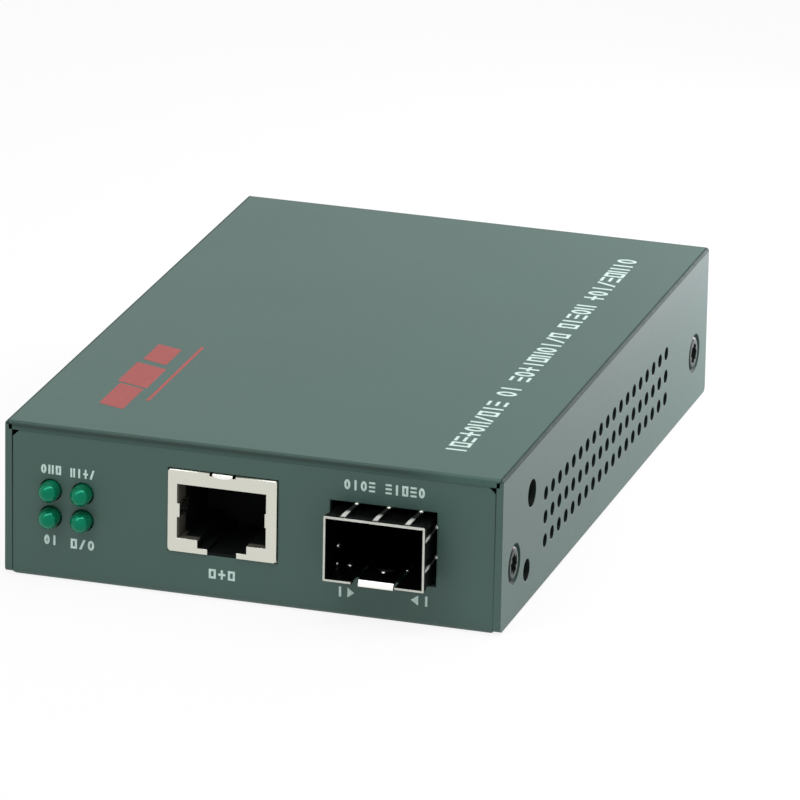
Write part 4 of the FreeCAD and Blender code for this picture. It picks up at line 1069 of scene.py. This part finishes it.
# %% Helpers for symbols and rows
def symbol(bm, kind, at, wide, high, stroke):
    """One of a few plain symbols, centred at a place; a dash makes none."""
    x, y = at
    if kind == "ring":
        ring_mark(bm, at, (wide, high), stroke)
    elif kind == "frame":
        ring_mark(bm, at, (wide, high), stroke, sides=4)
    elif kind == "bar":
        bar_mark(bm, at, (stroke, high))
    elif kind == "pair":
        bar_mark(bm, (x - wide / 2 + stroke / 2, y), (stroke, high))
        bar_mark(bm, (x + wide / 2 - stroke / 2, y), (stroke, high))
    elif kind == "rungs":
        for step in (-1, 0, 1):
            bar_mark(bm, (x, y + step * (high - stroke) / 2), (wide, stroke * 0.9))
    elif kind == "plus":
        bar_mark(bm, at, (wide, stroke))
        bar_mark(bm, (x, y + high / 4 + stroke / 4), (stroke, high / 2 - stroke / 2))
        bar_mark(bm, (x, y - high / 4 - stroke / 4), (stroke, high / 2 - stroke / 2))
    elif kind == "slant":
        bar_mark(bm, at, (stroke * 1.1, high), slant=(wide - stroke) / high)
    elif kind == "right":
        arrow_mark(bm, at, (wide * 1.1, high), -math.pi / 2)
    elif kind == "left":
        arrow_mark(bm, at, (wide * 1.1, high), math.pi / 2)


def row_of_symbols(bm, kinds, start, end, middle, high, stroke, gap=0.26):
    """Symbols side by side between two places; a dash leaves a gap between groups."""
    kinds = kinds.split()
    pitch = (end - start) / len(kinds)
    for index, kind in enumerate(kinds):
        symbol(bm, kind, (start + (index + 0.5) * pitch, middle), pitch * (1.0 - gap), high, stroke)


def print_marks(name, bm, ink, place, axis):
    """Give flat marks the thickness of the ink, turn them a quarter about an axis and put them in place."""
    face_outwards(bm)
    bmesh.ops.reverse_faces(bm, faces=[f for f in bm.faces if f.normal.z < 0])
    thicken(bm, INK_THICK)
    bmesh.ops.transform(bm, matrix=turned(place, axis), verts=bm.verts)
    finish_piece(name, bm, [ink])


print("symbols ready, ink", INK_THICK / MM, "mm thick")

# %% [markdown]
# On the front, a short row of symbols stands by every lamp, under the copper port and over the cage, and
# two arrows under the cage show which fibre leaves and which one comes in. The rows are laid out flat and
# then stood up.

# %% Print the front
FRONT_ROWS = [
    ("ring pair frame", -31.1, -27.85, 16.4, 1.35, 0.30),
    ("pair bar plus slant", -26.75, -22.95, 16.3, 1.35, 0.28),
    ("ring bar", -30.6, -28.4, 5.95, 1.45, 0.32),
    ("frame slant ring", -26.7, -22.9, 5.8, 1.45, 0.32),
    ("frame plus frame", -6.35, -2.15, 3.92, 1.4, 0.32),
    ("ring bar ring rungs - rungs bar frame rungs ring", 13.2, 25.15, 19.6, 1.5, 0.32),
    ("bar right", 12.3, 15.1, 3.7, 1.5, 0.34),
    ("left bar", 23.2, 26.25, 3.8, 1.5, 0.34),
]
bm = bmesh.new()
for kinds, start, end, middle, high, stroke in FRONT_ROWS:
    row_of_symbols(bm, kinds, start * MM, end * MM, middle * MM, high * MM, stroke * MM)
print_marks("front_print", bm, pale_ink, (0.0, panel_front, 0.0), "X")

# %% [markdown]
# Along the right edge of the top runs one long row of larger symbols in five groups. Near the left edge, a
# red stripe mark of slanted bars with a thin line beside it takes the place of a badge.

# %% Print the top
TOP_ROW = ("bar frame rungs plus ring pair slant frame bar rungs - ring bar - "
           "rungs ring plus bar frame pair ring bar slant frame - frame bar rungs ring pair - "
           "plus ring bar slant rungs frame pair bar ring")
ROW_START, ROW_END, ROW_X, ROW_HIGH, ROW_STROKE = -45.4 * MM, 44.5 * MM, 26.5 * MM, 3.0 * MM, 0.50 * MM
bm = bmesh.new()
row_of_symbols(bm, TOP_ROW, ROW_START, ROW_END, 0.0, ROW_HIGH, ROW_STROKE, gap=0.2)
print_marks("top_print", bm, pale_ink, (ROW_X, 0.0, roof), "Z")

# %% Print the stripe mark
BADGE_X, BADGE_Y = -24.3 * MM, -29.6 * MM
BADGE_BARS, BADGE_PITCH, BADGE_RISE, BADGE_SLANT = ((9.0, 4.0), (8.6, 4.9), (7.0, 3.9)), 9.4, 0.15, 0.35
bm = bmesh.new()
for index, (wide, high) in enumerate(BADGE_BARS):
    at = ((index - 1) * BADGE_PITCH * MM, BADGE_RISE * index * MM)
    bar_mark(bm, at, (wide * MM, high * MM), slant=BADGE_SLANT)
bar_mark(bm, (2.2 * MM, -4.1 * MM), (24.5 * MM, 0.5 * MM))
print_marks("stripe_mark", bm, red_ink, (BADGE_X, BADGE_Y, roof), "Z")

# %% [markdown]
# ## Dress the solid pieces
#
# The rest of the solid pieces are right in shape, and only need their finish. Each gets its material in
# every slot.

# %% Dress the solid pieces
FINISHES = {
    tray_paint_and_shade: ["base_tray"],
    zinc: ["board_screws", "board_standoffs"],
    port_moulding: ["copper_port_body"],
    board_lacquer: ["circuit_board"],
    moulding: ["module_connector", "lamp_holder", "dc_jack_body"],
    gold: ["copper_port_contacts", "module_connector_contacts"],
    lead_tin: ["lamp_leads", "dc_jack_pin", "dc_jack_spring"],
    chip_resin: ["network_transformer", "converter_chip", "line_chip", "memory_chip", "power_regulator",
                 "power_inductor", "chip_resistors"],
    can_metal: ["crystal", "smoothing_capacitors"],
}
for coat, nodes in FINISHES.items():
    for node in nodes:
        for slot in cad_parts[node].material_slots:
            slot.material = coat
print("dressed", sum(len(nodes) for nodes in FINISHES.values()), "pieces")
